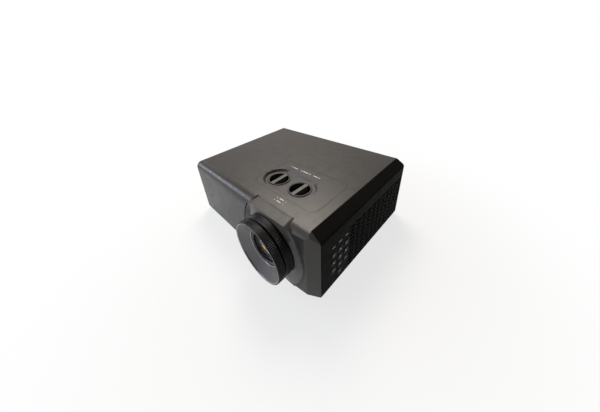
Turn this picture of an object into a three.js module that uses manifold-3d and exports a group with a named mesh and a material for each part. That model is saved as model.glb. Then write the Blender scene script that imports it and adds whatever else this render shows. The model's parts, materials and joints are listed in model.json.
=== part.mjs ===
// A video projector of the installation kind: a charcoal case with a bevelled side cover,
// a hooded lens at the front right, two lens shift dials under the top and a keypad at the side.
// Millimetres. The case's own frame has x = 0 at the middle of its width, y = 0 at the front wall
// and z = 0 at its underside; the whole is then moved so that the origin is at the middle of the
// bounding box, at the height of the feet's soles.
import * as THREE from "three";
import { mergeVertices } from "three/addons/utils/BufferGeometryUtils.js";
import Module from "manifold-3d";

const wasm = await Module();
wasm.setup();

// Fits shared by all pieces
const fit = 0.3;
const overrun = 2;
const wall = 3;

// Case
const caseWidth = 431;
const caseDepth = 343;
const caseHeight = 155;
const halfWidth = caseWidth / 2;
const bevelRun = 21.7;
const bevelDrop = 14;
const sideTop = caseHeight - bevelDrop;
const bevelTopRound = 3;
const bevelLowRound = 7;
const frontFillet = 21;
const topFillet = 6;
const bottomFillet = 2;
const rearFillet = 3;
const frontLeftRound = 4;
const rearRound = 6;
const frontBowReach = 65.5;
const frontBowSetback = 5.5;
const frontBowRound = 60;
const frontCornerRun = 23;
const frontCornerSetback = 19;
const frontCornerRound = 12;
const sideCornerRound = 3;
const sideSeamFront = 19;
const topSeamFront = 20.5;
const sideCoverLift = 2;
const filletSteps = 5;

// Feet
const footHeight = 8;
const footRadius = 15;
const footPadHeight = 5;
const footStudRadius = 5;
const footStudReach = 15;
const footBossRadius = 10;
const footBossHeight = 18;
const frontFootY = 58;
const rearFootSetback = 43;
const rearFootY = caseDepth - rearFootSetback;
const footInset = 31.5;
const footX = halfWidth - footInset;

// Raised pad of the underside, where a ceiling bracket's plate lies
const bracketPadWidth = 200;
const bracketPadDepth = 150;
const bracketPadRise = 1;
const bracketPadRound = 8;
const bracketPadY = caseDepth / 2;

// Air slots behind the pad
const trayVentX = -39;
const trayVentSetback = 68;
const trayVentY = caseDepth - trayVentSetback;
const trayVentColumns = 4;
const trayVentRows = 3;
const trayVentPitchX = 26;
const trayVentPitchY = 12;
const trayVentLength = 18;
const trayVentWidth = 4;

// How far each carriage travels from where the lens stands in the photograph
const shiftLeft = 7;
const shiftRight = 1;
const shiftDown = 12;

// Lens axis, and the barrel that the case's height leaves room for
const insideFloor = wall + fit;
const carriageTopGap = 7;
const carriageBottomGap = 9.7;
const carriageMargin = 14.5;
const carriageRoom = caseHeight - wall - carriageTopGap - shiftDown - insideFloor - carriageBottomGap;
const verticalPlateHalfHeight = carriageRoom / 2;
const lensInset = 107;
const lensX = halfWidth - lensInset;
const lensZ = caseHeight - wall - carriageTopGap - verticalPlateHalfHeight;
const barrelRadius = verticalPlateHalfHeight - carriageMargin;
const travelX = lensX + (shiftRight - shiftLeft) / 2;
const travelHalfX = (shiftRight + shiftLeft) / 2;
const travelZ = lensZ - shiftDown / 2;

// Lens surround and its visor
const surroundOffset = 7.8;
const surroundX = lensX - surroundOffset;
const surroundMargin = 43.1;
const surroundHalfWidth = barrelRadius + surroundMargin;
const surroundRadiusShare = 0.7484;
const surroundSideRadius = caseHeight * surroundRadiusShare;
const surroundMiddleShare = 0.458;
const surroundMiddleZ = caseHeight * surroundMiddleShare;
const surroundBottom = 0.5;
const surroundDepth = 21.5;
const crestReach = 5;
const crestInset = 3.3;
const crestWidth = 1.6;
const visorThickness = 3.5;
const visorBack = 24;
const dishMargin = 22.5;
const dishRadius = barrelRadius + dishMargin;
const dishOffset = 3.5;
const dishX = lensX - dishOffset;
const dishDrop = 6;
const dishZ = lensZ - dishDrop;
const dishFloorY = 4;
const dishThickness = 3;
const openingMargin = 15.5;
const surroundOpeningRadius = barrelRadius + openingMargin;
const surroundSteps = 12;

// Lens
const hoodReach = 40;
const focusRingRise = 20;
const focusRingRadius = barrelRadius + focusRingRise;
const focusRingBack = -24;
const focusHubRise = 5;
const focusHubRadius = barrelRadius + focusHubRise;
const focusHubBack = -20;
const hoodLip = 2.6;
const throatInset = 7;
const throatRadius = barrelRadius - throatInset;
const throatY = -23;
const zoomRingRise = 19.5;
const zoomRingRadius = barrelRadius + zoomRingRise;
const zoomRingFront = -21.5;
const zoomLipClearance = 1.5;
const zoomLipRadius = focusHubRadius + zoomLipClearance;
const zoomHubFront = -17;
const zoomRingBack = -4;
const zoomSleeveRise = 6.5;
const zoomSleeveRadius = barrelRadius + zoomSleeveRise;
const zoomSleeveBack = 12;
const knurlCount = 36;
const knurlDepth = 0.9;
const knurlMargin = 1.6;
const ringChamfer = 1.4;
const barrelShoulderY = 23.5;
const barrelTailInset = 9.5;
const barrelTailRadius = barrelRadius - barrelTailInset;
const barrelTailY = 70;
const barrelWallWidth = 18;
const barrelBore = barrelRadius - barrelWallWidth;
const barrelFlangeInset = 4.5;
const barrelFlangeRadius = barrelRadius - barrelFlangeInset;
const frontCellInset = 10.5;
const frontCellRadius = barrelRadius - frontCellInset;
const frontCellDepth = 15;
const retainingWidth = 4;
const retainingThickness = 3;
const frontLensThickness = 7;
const frontLensSag = 5;
const frontLensHollow = 1;
const rearLensThickness = 6;
const rearLensSag = 2.5;
const rearLensHollow = 1;
const rearLensLip = 2;
const lensSteps = 28;
const lensRings = 2;

// Lens shift mechanism
const frameY = 24;
const plateThickness = 3.5;
const mountDrop = 6;
const mountTop = caseHeight - mountDrop;
const railWidth = 6.7;
const railLip = 4;
const railLipThickness = 3;
const plateHeightMargin = 6.5;
const horizontalPlateHalfHeight = barrelRadius + plateHeightMargin;
const plateWidthMargin = 8.5;
const horizontalPlateHalfWidth = barrelRadius + plateWidthMargin;
const mountMargin = 24.5;
const mountLeft = travelX - horizontalPlateHalfWidth - mountMargin;
const mountRight = travelX + horizontalPlateHalfWidth + mountMargin;
const holeMargin = 1.5;
const plateRound = 5;
const dialY = 99;
const verticalDialOffset = 78;
const verticalDialX = lensX - verticalDialOffset;
const horizontalDialOffset = 12.5;
const horizontalDialX = lensX - horizontalDialOffset;
const dialRadius = 26;
const dialSteps = 24;
const dialRim = 2.2;
const dialPitDepth = 12;
const dialFloor = 2;
const dialFlange = 3;
const dialFlangeThickness = 2.6;
const dialProud = 0.6;
const dialBarWidth = 9.6;
const dialBarProud = 0.8;
const dialBarDraft = 1;
const dialBarSteps = 2;
const screwRadius = 3;
const nutRadius = 7;
const nutDrop = 25;
const nutTop = caseHeight - nutDrop;
const nutHeight = 6;
const verticalPlateLeft = mountLeft + railWidth + fit;
const verticalPlateRight = mountRight - railWidth - fit;
const nutArmInset = 5;
const nutArmWidth = 7.5;
const nutArmLeft = verticalPlateLeft + nutArmInset;
const nutArmRight = nutArmLeft + nutArmWidth;
const screwEnd = 1;
const screwBottom = nutTop - nutHeight - shiftDown - screwEnd;
const pinionTeeth = 16;
const pinionPitchRadius = 10;
const toothAddendum = 1;
const toothDedendum = 1.3;
const toothRootHalf = 0.95;
const toothTipHalf = 0.45;
const rackDrop = 22.5;
const rackTop = caseHeight - rackDrop;
const rackHeight = 5.5;
const rackBottom = rackTop - rackHeight;
const rackReach = 17;
const pinionEnd = 2;
const pinionBottom = rackBottom - shiftDown - pinionEnd;

// Shift panel in the top
const panelLeftReach = 117;
const panelLeft = lensX - panelLeftReach;
const panelRightReach = 63.5;
const panelRight = lensX + panelRightReach;
const panelFront = 52.5;
const panelBack = 171;
const panelRound = 14;
const recessRadius = 37.5;
const recessDepth = 6;
const recessSlope = 4.5;
const recessWall = 2.5;
const recessSteps = 8;

// Keypad in the side cover
const keyPitchY = 20;
const keyFirstY = 54.4;
const keyDrop = 55.5;
const keyTopZ = sideTop - keyDrop;
const keyLowZ = 23.5;
const keyColumns = 3;
const keyRows = 3;
const keyPitchZ = (keyTopZ - keyLowZ) / keyRows;
const keyWidth = 14;
const keyHeightShare = 0.647;
const keyHeight = keyPitchZ * keyHeightShare;
const keyRound = 3.2;
const keySteps = 1;
const keyProud = 0.8;
const keyFlange = 1.2;
const keyFlangeThickness = 1.5;
const keyTravel = 0.8;
const boardThickness = 1.6;
const domeHeight = 0.9;
const domeRadius = 3;
const domeSteps = 8;
const indicatorDrop = 35.4;
const indicatorZ = sideTop - indicatorDrop;
const indicatorWidth = 9;
const indicatorHeight = 2.4;
const indicatorProud = 0.2;

// Intake slots in the side cover, in straight rows and columns
const slotPitchY = 20.8;
const slotPitchZ = 10.3;
const slotLength = 17.3;
const slotHeight = 6;
const slotFirstY = 107;
const slotRearMargin = 8;
const slotLastY = caseDepth - slotRearMargin;
const slotFirstZ = 8;
const slotTopMargin = 26;
const slotRows = Math.floor((sideTop - slotTopMargin - slotFirstZ) / slotPitchZ) + 1;

// Exhaust side and fans
const exhaustFront = 86;
const exhaustBack = 196;
const exhaustBottom = 10;
const exhaustTop = 100;
const exhaustRound = 6;
const grilleFlange = 4;
const grilleFlangeThickness = 1.5;
const louvreCount = 9;
const louvreHeight = 5;
const louvreMargin = 6;
const fanSize = 92;
const fanDepth = 25;
const fanRim = 2;
const fanHole = fanSize / 2 - fanRim;
const fanSteps = 20;
const fanRound = 5;
const fanStrutWidth = 7;
const fanStrutThickness = 3;
const fanMotorShare = 0.41;
const fanMotorRadius = fanHole * fanMotorShare;
const fanPinRadius = 2.5;
const rotorTipGap = 2;
const rotorRadius = fanHole - rotorTipGap;
const rotorHubInset = 1;
const rotorHubRadius = fanMotorRadius - rotorHubInset;
const rotorDepth = 18;
const rotorBlades = 7;
const bladeThickness = 1.6;
const bladeChord = 17;
const bladePitch = 0.6;
const intakeFanY = (slotFirstY + slotLastY) / 2;
const exhaustFanY = 141;
const filterDepth = 8;
const filterDrop = 22;
const filterTop = sideTop - filterDrop;
const filterFrame = 4;
const filterMargin = 2;
const filterPleats = 14;
const filterSheet = 1.6;

// Inside
const engineDrop = 5;
const engineTop = pinionBottom - engineDrop;
const engineFront = 73;
const engineLeftReach = 68.5;
const engineLeft = lensX - engineLeftReach;
const engineRightReach = 63.5;
const engineRight = lensX + engineRightReach;
const engineMiddle = 112;
const engineBack = 165;
const lampInset = 55.5;
const lampLeft = -halfWidth + lampInset;
const lampWidth = 88;
const lampRight = lampLeft + lampWidth;
const lampFront = 100;
const lampBack = 182;
const lampDrop = 12;
const lampTop = engineTop - lampDrop;
const ductGap = 2;
const ductLeft = lampRight + ductGap;
const engineRound = 8;
const enginePocket = 44;
const enginePocketDepth = 40;
const prismSize = 34;
const prismChamfer = 3;
const supplyInset = 43.5;
const supplyLeft = -halfWidth + supplyInset;
const supplyGap = 47;
const supplyRight = mountLeft - supplyGap;
const supplyFront = 16;
const supplyBack = 84;
const supplyTop = 62;
const finCount = 8;
const finHeight = 10;
const finThickness = 3;
const rearRecess = 4;
const socketReach = 2.4;
const mainBoardInset = 87.5;
const mainBoardLeft = -halfWidth + mainBoardInset;
const mainBoardGap = 23.5;
const mainBoardRight = halfWidth - mainBoardGap;
const mainBoardDrop = 33;
const mainBoardTop = caseHeight - mainBoardDrop;
const speakerInset = 55.5;
const speakerX = -halfWidth + speakerInset;
const speakerHeightShare = 0.5935;
const speakerZ = caseHeight * speakerHeightShare;
const speakerRadius = 26;
const speakerDepth = 18;
const speakerFlange = 2.5;
const speakerSlotCount = 7;
const speakerSlotHeight = 3;
const speakerSlotPitch = 6.4;
const speakerSlotLength = 42;

// Front window for the remote control
const windowInset = 55.5;
const windowX = -halfWidth + windowInset;
const windowHeightShare = 0.4355;
const windowZ = caseHeight * windowHeightShare;
const windowRadius = 5;
const windowFlange = 2;

// Rear sockets: place as a share of half the width, height of their row, and mouth size
const inletInset = 55.5;
const inletX = -halfWidth + inletInset;
const inletZ = 34;
const inletWidth = 27;
const inletHeight = 20;
const inletMargin = 3;
const inletDepth = 18;
const inletBladeWidth = 4;
const inletBladeThickness = 2;
const inletBladeReach = 12;
const inletBladePitch = 7;
const switchGap = 48;
const switchX = inletX + switchGap;
const switchWidth = 13;
const switchHeight = 19;
const switchMargin = 2.4;
const switchDepth = 14;
const rockerSwing = 20;
const rockerPin = 1.6;
const rockerClearance = 1.2;
const socketWall = 1.4;
const upperRowShare = 0.555;
const upperRowZ = caseHeight * upperRowShare;
const lowerRowZ = 40;
const hdmiWidth = 15;
const hdmiHeight = 5.6;
const hdmiChamferShare = 0.3;
const hdmiXShare = -0.1856;
const hdmiPitch = 34;
const vgaXShare = 0.2413;
const vgaWidth = 18;
const vgaHeight = 9;
const vgaSlantShare = 0.12;
const serialXShare = 0.594;
const serialWidth = 19.5;
const lanXShare = -0.3063;
const lanWidth = 12;
const lanHeight = 9;
const usbXShare = -0.0835;
const usbWidth = 13;
const usbHeight = 5.8;
const jackXShare = 0.13;
const jackPitch = 26;
const jackRadius = 4.6;
const jackBore = 1.8;
const videoXShare = 0.4455;
const videoRadius = 4.2;
const videoBore = 1.8;
const socketDepth = 8;
const roundSteps = 14;
const boreSteps = 12;
const cornerSteps = 3;
const mergeDistance = 0.003;
const weldDistance = 1e-4;

// Colours of the photographed finishes
const finishes = {
  charcoal: { color: 0x55534e, roughness: 0.55, metalness: 0.1 },
  black: { color: 0x1b1c1d, roughness: 0.5, metalness: 0 },
  knurl: { color: 0x141414, roughness: 0.6, metalness: 0 },
  grey: { color: 0x6b6a67, roughness: 0.45, metalness: 0.1 },
  steel: { color: 0xa9abad, roughness: 0.35, metalness: 0.9 },
  board: { color: 0x1e4a2c, roughness: 0.6, metalness: 0 },
  rubber: { color: 0x111111, roughness: 0.9, metalness: 0 },
  glass: { color: 0x5a4a6a, roughness: 0.05, metalness: 0 },
  light: { color: 0xc8c8c4, roughness: 0.4, metalness: 0 },
};

// Solids from three.js geometry, and back

function solid(geometry) {
  const bare = geometry.clone();
  for (const name of Object.keys(bare.attributes)) {
    if (name !== "position") bare.deleteAttribute(name);
  }
  const merged = mergeVertices(bare, weldDistance);
  const corners = merged.index.array;
  const faces = [];
  for (let i = 0; i < corners.length; i += 3) {
    const [a, b, c] = [corners[i], corners[i + 1], corners[i + 2]];
    if (a !== b && b !== c && c !== a) faces.push(a, b, c);
  }
  return new wasm.Manifold(
    new wasm.Mesh({
      numProp: 3,
      vertProperties: new Float32Array(merged.attributes.position.array),
      triVerts: new Uint32Array(faces),
    }),
  );
}

function union(...solids) {
  return solids.reduce((sum, next) => sum.add(next));
}

function cut(body, ...tools) {
  return tools.reduce((rest, tool) => rest.subtract(tool), body);
}

function geometryOf(body) {
  const mesh = body.getMesh();
  const geometry = new THREE.BufferGeometry();
  geometry.setAttribute("position", new THREE.BufferAttribute(mesh.vertProperties, 3));
  geometry.setIndex(new THREE.BufferAttribute(mesh.triVerts, 1));
  geometry.computeVertexNormals();
  return geometry;
}

const projector = new THREE.Group();
projector.position.set(-keyProud / 2, (hoodReach - caseDepth) / 2, footHeight);

function addPiece(name, body, finish) {
  const mesh = new THREE.Mesh(geometryOf(body), new THREE.MeshStandardMaterial(finishes[finish]));
  mesh.name = name;
  projector.add(mesh);
}

// Outlines

function lineMeet(p, alongP, q, alongQ) {
  const across = alongP.x * alongQ.y - alongP.y * alongQ.x;
  const t = ((q.x - p.x) * alongQ.y - (q.y - p.y) * alongQ.x) / across;
  return new THREE.Vector2(p.x + alongP.x * t, p.y + alongP.y * t);
}

// Moves every edge of an anticlockwise convex outline inwards; corners are [a, b, rounding radius]
function insetCorners(corners, inset) {
  const places = corners.map(([a, b]) => new THREE.Vector2(a, b));
  const edges = places.map((place, i) => {
    const along = places[(i + 1) % places.length].clone().sub(place).normalize();
    return { start: new THREE.Vector2(place.x - along.y * inset, place.y + along.x * inset), along };
  });
  return corners.map(([, , radius], i) => {
    const before = edges[(i + edges.length - 1) % edges.length];
    const meet = lineMeet(before.start, before.along, edges[i].start, edges[i].along);
    return [meet.x, meet.y, Math.max(radius - inset, 0)];
  });
}

function roundedShape(corners, steps = filletSteps) {
  const places = corners.map(([a, b]) => new THREE.Vector2(a, b));
  const points = [];
  corners.forEach(([, , radius], i) => {
    const here = places[i];
    if (radius <= 0) {
      points.push(here);
      return;
    }
    const back = places[(i + places.length - 1) % places.length].clone().sub(here).normalize();
    const ahead = places[(i + 1) % places.length].clone().sub(here).normalize();
    const half = Math.acos(THREE.MathUtils.clamp(back.dot(ahead), -1, 1)) / 2;
    const centre = back.clone().add(ahead).normalize().multiplyScalar(radius / Math.sin(half)).add(here);
    const start = here.clone().addScaledVector(back, radius / Math.tan(half)).sub(centre);
    const turn = Math.PI - 2 * half;
    const side = Math.sign(back.x * ahead.y - back.y * ahead.x) * -1;
    for (let k = 0; k <= steps; k += 1) {
      const spoke = start.clone().rotateAround(new THREE.Vector2(), side * turn * (k / steps));
      points.push(spoke.add(centre));
    }
  });
  // Neighbouring arcs of a full round end share a point, which is kept once
  const apart = points.filter((point, i) => {
    const before = points[(i + points.length - 1) % points.length];
    return point.distanceTo(before) > mergeDistance;
  });
  return new THREE.Shape(apart);
}

function rectangle(left, right, low, high, radius = 0, steps = filletSteps) {
  const corners = [
    [left, low, radius],
    [right, low, radius],
    [right, high, radius],
    [left, high, radius],
  ];
  return roundedShape(corners, steps);
}

function centred(a, b, width, height, radius = 0, steps = filletSteps) {
  return rectangle(a - width / 2, a + width / 2, b - height / 2, b + height / 2, radius, steps);
}

function disc(a, b, radius, steps = roundSteps) {
  const points = [];
  for (let k = 0; k < steps; k += 1) {
    const angle = (2 * Math.PI * k) / steps;
    points.push(new THREE.Vector2(a + radius * Math.cos(angle), b + radius * Math.sin(angle)));
  }
  return new THREE.Shape(points);
}

// Extrusions: a shape drawn in (x, y) runs along z, in (x, z) along y, and in (y, z) along x

function alongZ(shape, low, high) {
  const geometry = new THREE.ExtrudeGeometry(shape, { depth: high - low, bevelEnabled: false });
  geometry.translate(0, 0, low);
  return solid(geometry);
}

function alongY(shape, front, back) {
  const geometry = new THREE.ExtrudeGeometry(shape, { depth: back - front, bevelEnabled: false });
  geometry.rotateX(Math.PI / 2);
  geometry.translate(0, back, 0);
  return solid(geometry);
}

function alongX(shape, left, right) {
  const geometry = new THREE.ExtrudeGeometry(shape, { depth: right - left, bevelEnabled: false });
  const turn = new THREE.Matrix4().makeBasis(
    new THREE.Vector3(0, 1, 0),
    new THREE.Vector3(0, 0, 1),
    new THREE.Vector3(1, 0, 0),
  );
  geometry.applyMatrix4(turn);
  geometry.translate(left, 0, 0);
  return solid(geometry);
}

function block(left, right, front, back, low, high) {
  const geometry = new THREE.BoxGeometry(right - left, back - front, high - low);
  geometry.translate((left + right) / 2, (front + back) / 2, (low + high) / 2);
  return solid(geometry);
}

// Turned pieces: the profile is a closed ring of [radius, height] pairs
function turned(profile, steps = lensSteps) {
  const points = profile.map(([radius, height]) => new THREE.Vector2(radius, height));
  if (THREE.ShapeUtils.area(points) < 0) points.reverse();
  points.push(points[0].clone());
  return new THREE.LatheGeometry(points, steps);
}

// About an axis along y, with heights as places along y
function turnedAlongY(profile, x, z, steps) {
  const geometry = turned(profile, steps);
  geometry.translate(x, 0, z);
  return solid(geometry);
}

// About an axis along z, with heights as places along z
function turnedAlongZ(profile, x, y, steps) {
  const geometry = turned(profile, steps);
  geometry.rotateX(Math.PI / 2);
  geometry.translate(x, y, 0);
  return solid(geometry);
}

// Skins a row of loops with equal counts of points into one closed solid
function loft(loops) {
  const count = loops[0].length;
  const positions = loops.flat().flatMap((p) => [p.x, p.y, p.z]);
  const faces = [];
  for (let row = 0; row + 1 < loops.length; row += 1) {
    for (let i = 0; i < count; i += 1) {
      const a = row * count + i;
      const b = row * count + ((i + 1) % count);
      faces.push(a, b, b + count, a, b + count, a + count);
    }
  }
  const capOf = (row) => {
    const flat = loops[row].map((p) => new THREE.Vector2(p.x, p.z));
    return THREE.ShapeUtils.triangulateShape(flat, []).map((face) => face.map((i) => row * count + i));
  };
  for (const [a, b, c] of capOf(0)) faces.push(c, b, a);
  for (const [a, b, c] of capOf(loops.length - 1)) faces.push(a, b, c);
  const geometry = new THREE.BufferGeometry();
  geometry.setAttribute("position", new THREE.Float32BufferAttribute(positions, 3));
  geometry.setIndex(faces);
  const body = solid(geometry);
  if (body.volume() > 0) return body;
  geometry.setIndex(faces.slice().reverse());
  return solid(geometry);
}

// Case envelope: a front, a plan and a side outline, crossed

const frontCorners = [
  [-halfWidth, 0, bottomFillet],
  [halfWidth, 0, bottomFillet],
  [halfWidth, sideTop, bevelLowRound],
  [halfWidth - bevelRun, caseHeight, bevelTopRound],
  [-halfWidth, caseHeight, topFillet],
];

const planCorners = [
  [-halfWidth, 0, frontLeftRound],
  [halfWidth - frontBowReach, 0, frontBowRound],
  [halfWidth - frontCornerRun, frontBowSetback, frontCornerRound],
  [halfWidth, frontCornerSetback, sideCornerRound],
  [halfWidth, caseDepth, rearRound],
  [-halfWidth, caseDepth, rearRound],
];

const sideCorners = [
  [0, 0, bottomFillet],
  [caseDepth, 0, bottomFillet],
  [caseDepth, caseHeight, rearFillet],
  [0, caseHeight, frontFillet],
];

const envelope = alongY(roundedShape(frontCorners), -overrun, caseDepth + overrun)
  .intersect(alongZ(roundedShape(planCorners), -overrun, caseHeight + overrun))
  .intersect(alongX(roundedShape(sideCorners), -halfWidth - overrun, halfWidth + overrun));

// The hollow is the envelope inset by a wall, and runs out through the bottom and the rear
function hollow(inset) {
  const open = -overrun;
  const beyond = caseDepth + overrun;
  const front = insetCorners(frontCorners, inset);
  front[0] = [front[0][0], open, 0];
  front[1] = [front[1][0], open, 0];
  const plan = insetCorners(planCorners, inset);
  plan[4] = [plan[4][0], beyond, 0];
  plan[5] = [plan[5][0], beyond, 0];
  const side = insetCorners(sideCorners, inset);
  side[0] = [side[0][0], open, 0];
  side[1] = [beyond, open, 0];
  side[2] = [beyond, side[2][1], 0];
  return alongY(roundedShape(front), 0, beyond)
    .intersect(alongZ(roundedShape(plan), open, caseHeight))
    .intersect(alongX(roundedShape(side), -halfWidth, halfWidth));
}

const skin = cut(envelope, hollow(wall));

// The region that the side cover takes, with its two seams moved by a gap
function sideCoverRegion(gap, low) {
  const edge = halfWidth + overrun;
  const shape = new THREE.Shape([
    new THREE.Vector2(halfWidth - bevelRun + gap, topSeamFront + gap),
    new THREE.Vector2(edge, sideSeamFront + gap - (overrun * (topSeamFront - sideSeamFront)) / bevelRun),
    new THREE.Vector2(edge, caseDepth + overrun),
    new THREE.Vector2(halfWidth - bevelRun + gap, caseDepth + overrun),
  ]);
  return alongZ(shape, low, caseHeight + overrun);
}

// The surround's outline in (x, z): two wide arcs, cut flat at the visor and at the bottom
function surroundOutline(half, grow, high, low, y) {
  const radius = surroundSideRadius + grow;
  const centre = half + grow - radius;
  const points = [];
  for (const side of [1, -1]) {
    for (let k = 0; k <= surroundSteps; k += 1) {
      const share = side > 0 ? k / surroundSteps : 1 - k / surroundSteps;
      const z = low + (high - low) * share;
      const x = centre + Math.sqrt(radius * radius - (z - surroundMiddleZ) ** 2);
      points.push(new THREE.Vector3(surroundX + side * x, y, z));
    }
  }
  return points;
}

function surroundHole(grow) {
  const low = -overrun;
  const high = caseHeight + overrun;
  const front = surroundOutline(surroundHalfWidth, grow, high, low, -crestReach - overrun);
  const back = surroundOutline(surroundHalfWidth, grow, high, low, surroundDepth + grow);
  return union(loft([front, back]), visorLip(grow, caseHeight + overrun));
}

// The visor runs back over the case as a thin plate
function visorLip(grow, high) {
  const low = caseHeight - wall - grow;
  const slab = (y) => surroundOutline(surroundHalfWidth, grow, high, low, y);
  return loft([slab(surroundDepth - wall), slab(visorBack + grow)]);
}

function lensSurround() {
  const outline = (half, y) => surroundOutline(half, 0, caseHeight, surroundBottom, y);
  const crest = surroundHalfWidth - crestInset;
  const body = loft([
    outline(crest, -crestReach),
    outline(surroundHalfWidth - crestInset / 3, -crestReach / 2),
    outline(surroundHalfWidth, 0),
    outline(surroundHalfWidth, surroundDepth),
  ]);
  const brim = (y) => surroundOutline(
    crest - crestWidth, 0, caseHeight - visorThickness, surroundBottom + visorThickness, y,
  );
  const dishFloor = brim(dishFloorY).map((p) => {
    const spoke = new THREE.Vector2(p.x - dishX, p.z - dishZ).setLength(dishRadius);
    return new THREE.Vector3(dishX + spoke.x, dishFloorY, dishZ + spoke.y);
  });
  const dish = loft([brim(-crestReach - overrun), brim(-crestReach), dishFloor]);
  const opening = alongY(
    disc(dishX, dishZ, surroundOpeningRadius, lensSteps), -overrun, surroundDepth + overrun,
  );
  const inner = (y) => surroundOutline(
    surroundHalfWidth - wall, 0, caseHeight - visorThickness, surroundBottom + wall, y,
  );
  const back = loft([inner(dishFloorY + dishThickness), inner(surroundDepth + overrun)]);
  return union(cut(body, dish, opening, back), visorLip(0, caseHeight));
}

// Rows of the intake slots

function intakeSlots() {
  const slots = [];
  for (let row = 0; row < slotRows; row += 1) {
    const z = slotFirstZ + row * slotPitchZ;
    for (let y = slotFirstY; y + slotLength <= slotLastY; y += slotPitchY) {
      const shape = rectangle(y, y + slotLength, z - slotHeight / 2, z + slotHeight / 2);
      slots.push(alongX(shape, halfWidth - 2 * wall, halfWidth + overrun));
    }
  }
  return slots;
}

// Keypad places: a block of keys, then one more under the middle column
function keyPlaces() {
  const places = [];
  for (let row = 0; row < keyRows; row += 1) {
    for (let column = 0; column < keyColumns; column += 1) {
      places.push([keyFirstY + column * keyPitchY, keyTopZ - row * keyPitchZ]);
    }
  }
  places.push([keyFirstY + ((keyColumns - 1) / 2) * keyPitchY, keyTopZ - keyRows * keyPitchZ]);
  return places;
}

function indicatorPlaces() {
  return Array.from({ length: keyColumns }, (_, column) => [keyFirstY + column * keyPitchY, indicatorZ]);
}

function sideCover() {
  const wallInside = halfWidth - 2 * wall;
  const keyHoles = keyPlaces().map(([y, z]) => alongX(
    centred(y, z, keyWidth + 2 * fit, keyHeight + 2 * fit, keyRound + fit, keySteps),
    wallInside,
    halfWidth + overrun,
  ));
  const lightHoles = indicatorPlaces().map(([y, z]) => alongX(
    centred(y, z, indicatorWidth + 2 * fit, indicatorHeight + 2 * fit),
    wallInside,
    halfWidth + overrun,
  ));
  const blank = skin.intersect(sideCoverRegion(fit, sideCoverLift));
  return cut(blank, union(...keyHoles, ...lightHoles), union(...intakeSlots()));
}

// Shift panel and recess

function stadium(radius, steps = recessSteps) {
  return rectangle(
    verticalDialX - radius, horizontalDialX + radius, dialY - radius, dialY + radius, radius, steps,
  );
}

function stadiumLoop(radius, z) {
  return stadium(radius).getPoints().map((p) => new THREE.Vector3(p.x, p.y, z));
}

function shiftPanel() {
  const top = caseHeight;
  const floor = caseHeight - recessDepth;
  const under = floor - recessWall;
  const plate = alongZ(
    rectangle(panelLeft, panelRight, panelFront, panelBack, panelRound), top - wall, top,
  );
  const tub = alongZ(stadium(recessRadius), under, top - wall / 2);
  const bowl = loftAlongZ([
    stadiumLoop(recessRadius - recessSlope, floor),
    stadiumLoop(recessRadius, top),
    stadiumLoop(recessRadius, top + overrun),
  ]);
  const wells = [verticalDialX, horizontalDialX].map((x) => alongZ(
    disc(x, dialY, dialRadius + fit, dialSteps), under - overrun, floor + overrun,
  ));
  return cut(union(plate, tub), bowl, ...wells);
}

// A loft whose loops lie level, one above another
function loftAlongZ(loops) {
  const turnedLoops = loops.map((loop) => loop.map((p) => new THREE.Vector3(p.x, p.z, -p.y)).reverse());
  return loft(turnedLoops).rotate([90, 0, 0]);
}

// Dials: a cup with two finger pits and a bar across, on a stem

function dialCup(x) {
  const floor = caseHeight - recessDepth;
  const top = floor + dialProud;
  const under = floor - recessWall - fit;
  const pit = top - dialPitDepth;
  const cup = turnedAlongZ([
    [0, pit - dialFloor],
    [dialRadius - dialRim / 2, pit - dialFloor],
    [dialRadius - dialRim / 2, under - dialFlangeThickness],
    [dialRadius + dialFlange, under - dialFlangeThickness],
    [dialRadius + dialFlange, under],
    [dialRadius, under],
    [dialRadius, top - dialProud / 2],
    [dialRadius - dialProud / 2, top],
    [dialRadius - dialRim, top],
    [dialRadius - dialRim - dialBarDraft, pit],
    [0, pit],
  ], x, dialY, dialSteps);
  const barTop = top + dialBarProud;
  const bar = roundedShape([
    [x - dialBarWidth / 2 - dialBarDraft, pit - dialFloor / 2, 0],
    [x + dialBarWidth / 2 + dialBarDraft, pit - dialFloor / 2, 0],
    [x + dialBarWidth / 2, barTop, dialBarDraft],
    [x - dialBarWidth / 2, barTop, dialBarDraft],
  ], dialBarSteps);
  const reach = dialRadius - dialRim / 2;
  const round = alongZ(disc(x, dialY, reach, dialSteps), 0, caseHeight);
  return union(cup, alongY(bar, dialY - reach, dialY + reach).intersect(round));
}

function dialBottom() {
  return caseHeight - recessDepth + dialProud - dialPitDepth - dialFloor;
}

function verticalDial() {
  const screw = alongZ(
    disc(verticalDialX, dialY, screwRadius, boreSteps), screwBottom, dialBottom() + dialFloor / 2,
  );
  return union(dialCup(verticalDialX), screw);
}

// A straight-flanked tooth, as half widths at its root and its tip
function toothPoints(place) {
  return [
    place(-toothRootHalf, -toothDedendum),
    place(-toothTipHalf, toothAddendum),
    place(toothTipHalf, toothAddendum),
    place(toothRootHalf, -toothDedendum),
  ];
}

function horizontalDial() {
  const points = [];
  for (let tooth = 0; tooth < pinionTeeth; tooth += 1) {
    const angle = (2 * Math.PI * (tooth + 1 / 2)) / pinionTeeth - Math.PI / 2;
    points.push(...toothPoints((across, out) => {
      const radius = pinionPitchRadius + out;
      const at = angle + across / radius;
      return new THREE.Vector2(horizontalDialX + radius * Math.cos(at), dialY + radius * Math.sin(at));
    }));
  }
  const pinion = alongZ(new THREE.Shape(points), pinionBottom, dialBottom() + dialFloor / 2);
  return union(dialCup(horizontalDialX), pinion);
}

// Shift carriages: a fixed frame, a plate that rises and falls in it, a plate that crosses that one

const verticalPlateY = frameY + plateThickness + fit;
const horizontalPlateY = verticalPlateY + plateThickness + fit;

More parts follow.
